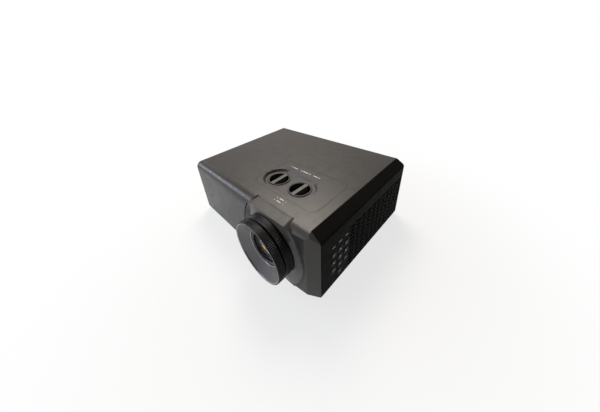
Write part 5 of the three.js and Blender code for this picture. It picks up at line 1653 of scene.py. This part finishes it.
@dataclass
class Studio:
    """The pale floor, the softboxes, the world and the camera at the photograph's angle."""

    camera_at: tuple[float, float, float] = (363.64, -167.59, 419.10)
    right: tuple[float, float, float] = (0.67800732, 0.729525, -0.08999639)
    down: tuple[float, float, float] = (0.29138398, -0.37915169, -0.87825929)
    forward: tuple[float, float, float] = (-0.67483439, 0.56924272, -0.46963952)
    lens: float = 12.908
    shift: tuple[float, float] = (0.02945, -0.07285)
    floor_half: float = 40.0

    def build(self) -> None:
        """Makes the stage, the lamps, the world and the camera."""
        self.floor()
        self.softbox("key", (-0.95, 0.85, 2.15), (1.1, 1.1), 47.0, 0xFFF6EA)
        self.softbox("fill", (-1.15, -1.05, 0.78), (1.1, 0.4), 13.0, 0xE6ECFF)
        self.world()
        self.camera()

    def floor(self) -> None:
        """Makes the floor, seen as near white with a soft shadow, but grey in the light it gives back."""
        mesh = bpy.data.meshes.new("floor")
        h = self.floor_half
        mesh.from_pydata([(-h, -h, 0), (h, -h, 0), (h, h, 0), (-h, h, 0)], [], [(0, 1, 2, 3)])
        material = bpy.data.materials.new("pale_matt_floor")
        material.use_nodes = True
        tree = material.node_tree
        tree.nodes.clear()
        lit = add_node(tree, "ShaderNodeBsdfDiffuse", None, {"Color": linear(0xF4F4F2)})
        white = add_node(tree, "ShaderNodeEmission", None, {"Color": linear(0xFFFFFF), "Strength": 1.0})
        grey = add_node(tree, "ShaderNodeBsdfDiffuse", None, {"Color": linear(0x747472)})
        where = add_node(tree, "ShaderNodeTexCoord").outputs["Object"]
        away = add_node(tree, "ShaderNodeVectorMath", {"operation": "LENGTH"}, {0: where})
        share = add_node(tree, "ShaderNodeMapRange", {"interpolation_type": "SMOOTHSTEP"}, {
            "Value": away.outputs["Value"], "From Min": 0.25, "From Max": 0.7, "To Min": 0.74, "To Max": 1.0,
        })
        shown = add_node(tree, "ShaderNodeMixShader", None, {
            0: share.outputs["Result"], 1: lit.outputs["BSDF"], 2: white.outputs["Emission"],
        })
        both = add_node(tree, "ShaderNodeMixShader", None, {
            0: self.looked_at(tree), 1: grey.outputs["BSDF"], 2: shown.outputs["Shader"],
        })
        add_node(tree, "ShaderNodeOutputMaterial", None, {"Surface": both.outputs["Shader"]})
        mesh.materials.append(material)
        made = bpy.data.objects.new("floor", mesh)
        bpy.context.scene.collection.objects.link(made)

    def looked_at(self, tree: bpy.types.NodeTree) -> bpy.types.NodeSocket:
        """Gives 1 where the eye, a reflection or clear glass shows the place, else 0.

        Args:
            tree: The node tree.

        Returns:
            The socket that gives it.
        """
        path = add_node(tree, "ShaderNodeLightPath")
        first = add_node(tree, "ShaderNodeMath", {"operation": "MAXIMUM"}, {
            0: path.outputs["Is Camera Ray"], 1: path.outputs["Is Transmission Ray"],
        })
        second = add_node(tree, "ShaderNodeMath", {"operation": "MAXIMUM"}, {
            0: first.outputs["Value"], 1: path.outputs["Is Glossy Ray"],
        })
        return second.outputs["Value"]

    def softbox(self, name: str, at: tuple[float, float, float], size: tuple[float, float], power: float,
                colour: int) -> None:
        """Adds an oblong softbox that looks at the projector.

        Args:
            name: Name of the lamp.
            at: Its place in metres in the row frame.
            size: Its width and height in metres.
            power: Its power in watts.
            colour: sRGB hex value of its light.
        """
        data = bpy.data.lights.new(name, "AREA")
        data.energy = power
        data.shape = "RECTANGLE"
        data.size, data.size_y = size
        data.color = linear(colour)[:3]
        lamp = bpy.data.objects.new(name, data)
        lamp.location = Vector(at)
        lamp.rotation_mode = "QUATERNION"
        lamp.rotation_quaternion = Vector(at).to_track_quat("Z", "Y")
        bpy.context.scene.collection.objects.link(lamp)

    def world(self) -> None:
        """Lights the scene softly and shows a room that is white low down and greyer above."""
        world = bpy.data.worlds.new("studio")
        world.use_nodes = True
        tree = world.node_tree
        tree.nodes.clear()
        looking = add_node(tree, "ShaderNodeTexCoord").outputs["Generated"]
        height = add_node(tree, "ShaderNodeSeparateXYZ", None, {"Vector": looking})
        room = add_node(tree, "ShaderNodeValToRGB", None, {"Fac": height.outputs["Z"]})
        stops = room.color_ramp.elements
        stops[0].position, stops[0].color = 0.02, linear(0xFFFFFF)
        stops[1].position, stops[1].color = 0.45, linear(0x6E7074)
        sided = add_node(tree, "ShaderNodeMapRange", {"interpolation_type": "SMOOTHSTEP"}, {
            "Value": height.outputs["X"], "From Min": 0.5, "From Max": -0.3, "To Min": 0.12, "To Max": 1.0,
        })
        mirrored = add_node(tree, "ShaderNodeMix", {"data_type": "RGBA", "blend_type": "MULTIPLY"}, {
            "Factor": add_node(tree, "ShaderNodeLightPath").outputs["Is Glossy Ray"],
            "A": linear(0xFFFFFF), "B": sided.outputs["Result"],
        })
        shade = add_node(tree, "ShaderNodeMix", {"data_type": "RGBA"}, {
            "Factor": add_node(tree, "ShaderNodeLightPath").outputs["Is Camera Ray"],
            "A": room.outputs["Color"], "B": linear(0xFFFFFF),
        })
        shown = add_node(tree, "ShaderNodeMix", {"data_type": "RGBA", "blend_type": "MULTIPLY"}, {
            "Factor": 1.0, "A": shade.outputs["Result"], "B": mirrored.outputs["Result"],
        })
        dimmed = add_node(tree, "ShaderNodeMapRange", {"interpolation_type": "SMOOTHSTEP"}, {
            "Value": height.outputs["X"], "From Min": 0.6, "From Max": -0.4, "To Min": 0.12, "To Max": 0.36,
        })
        soft = add_node(tree, "ShaderNodeBackground", None, {
            "Color": linear(0xF4F5F8), "Strength": dimmed.outputs["Result"],
        })
        seen = add_node(tree, "ShaderNodeBackground", None, {
            "Color": shown.outputs["Result"], "Strength": 1.0,
        })
        both = add_node(tree, "ShaderNodeMixShader", None, {
            0: self.looked_at(tree), 1: soft.outputs["Background"], 2: seen.outputs["Background"],
        })
        add_node(tree, "ShaderNodeOutputWorld", None, {"Surface": both.outputs["Shader"]})
        bpy.context.scene.world = world

    def camera(self) -> None:
        """Sets the camera where the photograph was taken from."""
        data = bpy.data.cameras.new("photograph")
        data.sensor_width = 36.0
        data.lens = self.lens
        data.shift_x, data.shift_y = self.shift
        data.clip_start = 0.01
        camera = bpy.data.objects.new("photograph", data)
        columns = (Vector(self.right), -Vector(self.down), -Vector(self.forward))
        turn = Matrix([[column[row] for column in columns] for row in range(3)]).to_4x4()
        camera.matrix_world = Matrix.Translation(place(*self.camera_at)) @ turn
        bpy.context.scene.collection.objects.link(camera)
        bpy.context.scene.camera = camera


def main() -> None:
    """Builds the sub-assemblies in order and sets the view transform."""
    logging.basicConfig(level=logging.WARNING)
    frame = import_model()
    shop = Workshop(frame)
    builders: list[Callable[[], None]] = [
        Studio().build, CaseShell(shop).build, ShiftControls(shop).build, Surround(shop).build,
        LensHead(shop).build, SideControls(shop).build, RearSockets(shop).build, Insides(shop).build,
        Feet(shop).build,
    ]
    for build in builders:
        build()
    bpy.context.scene.view_settings.view_transform = "Standard"


if __name__ == "__main__":
    main()
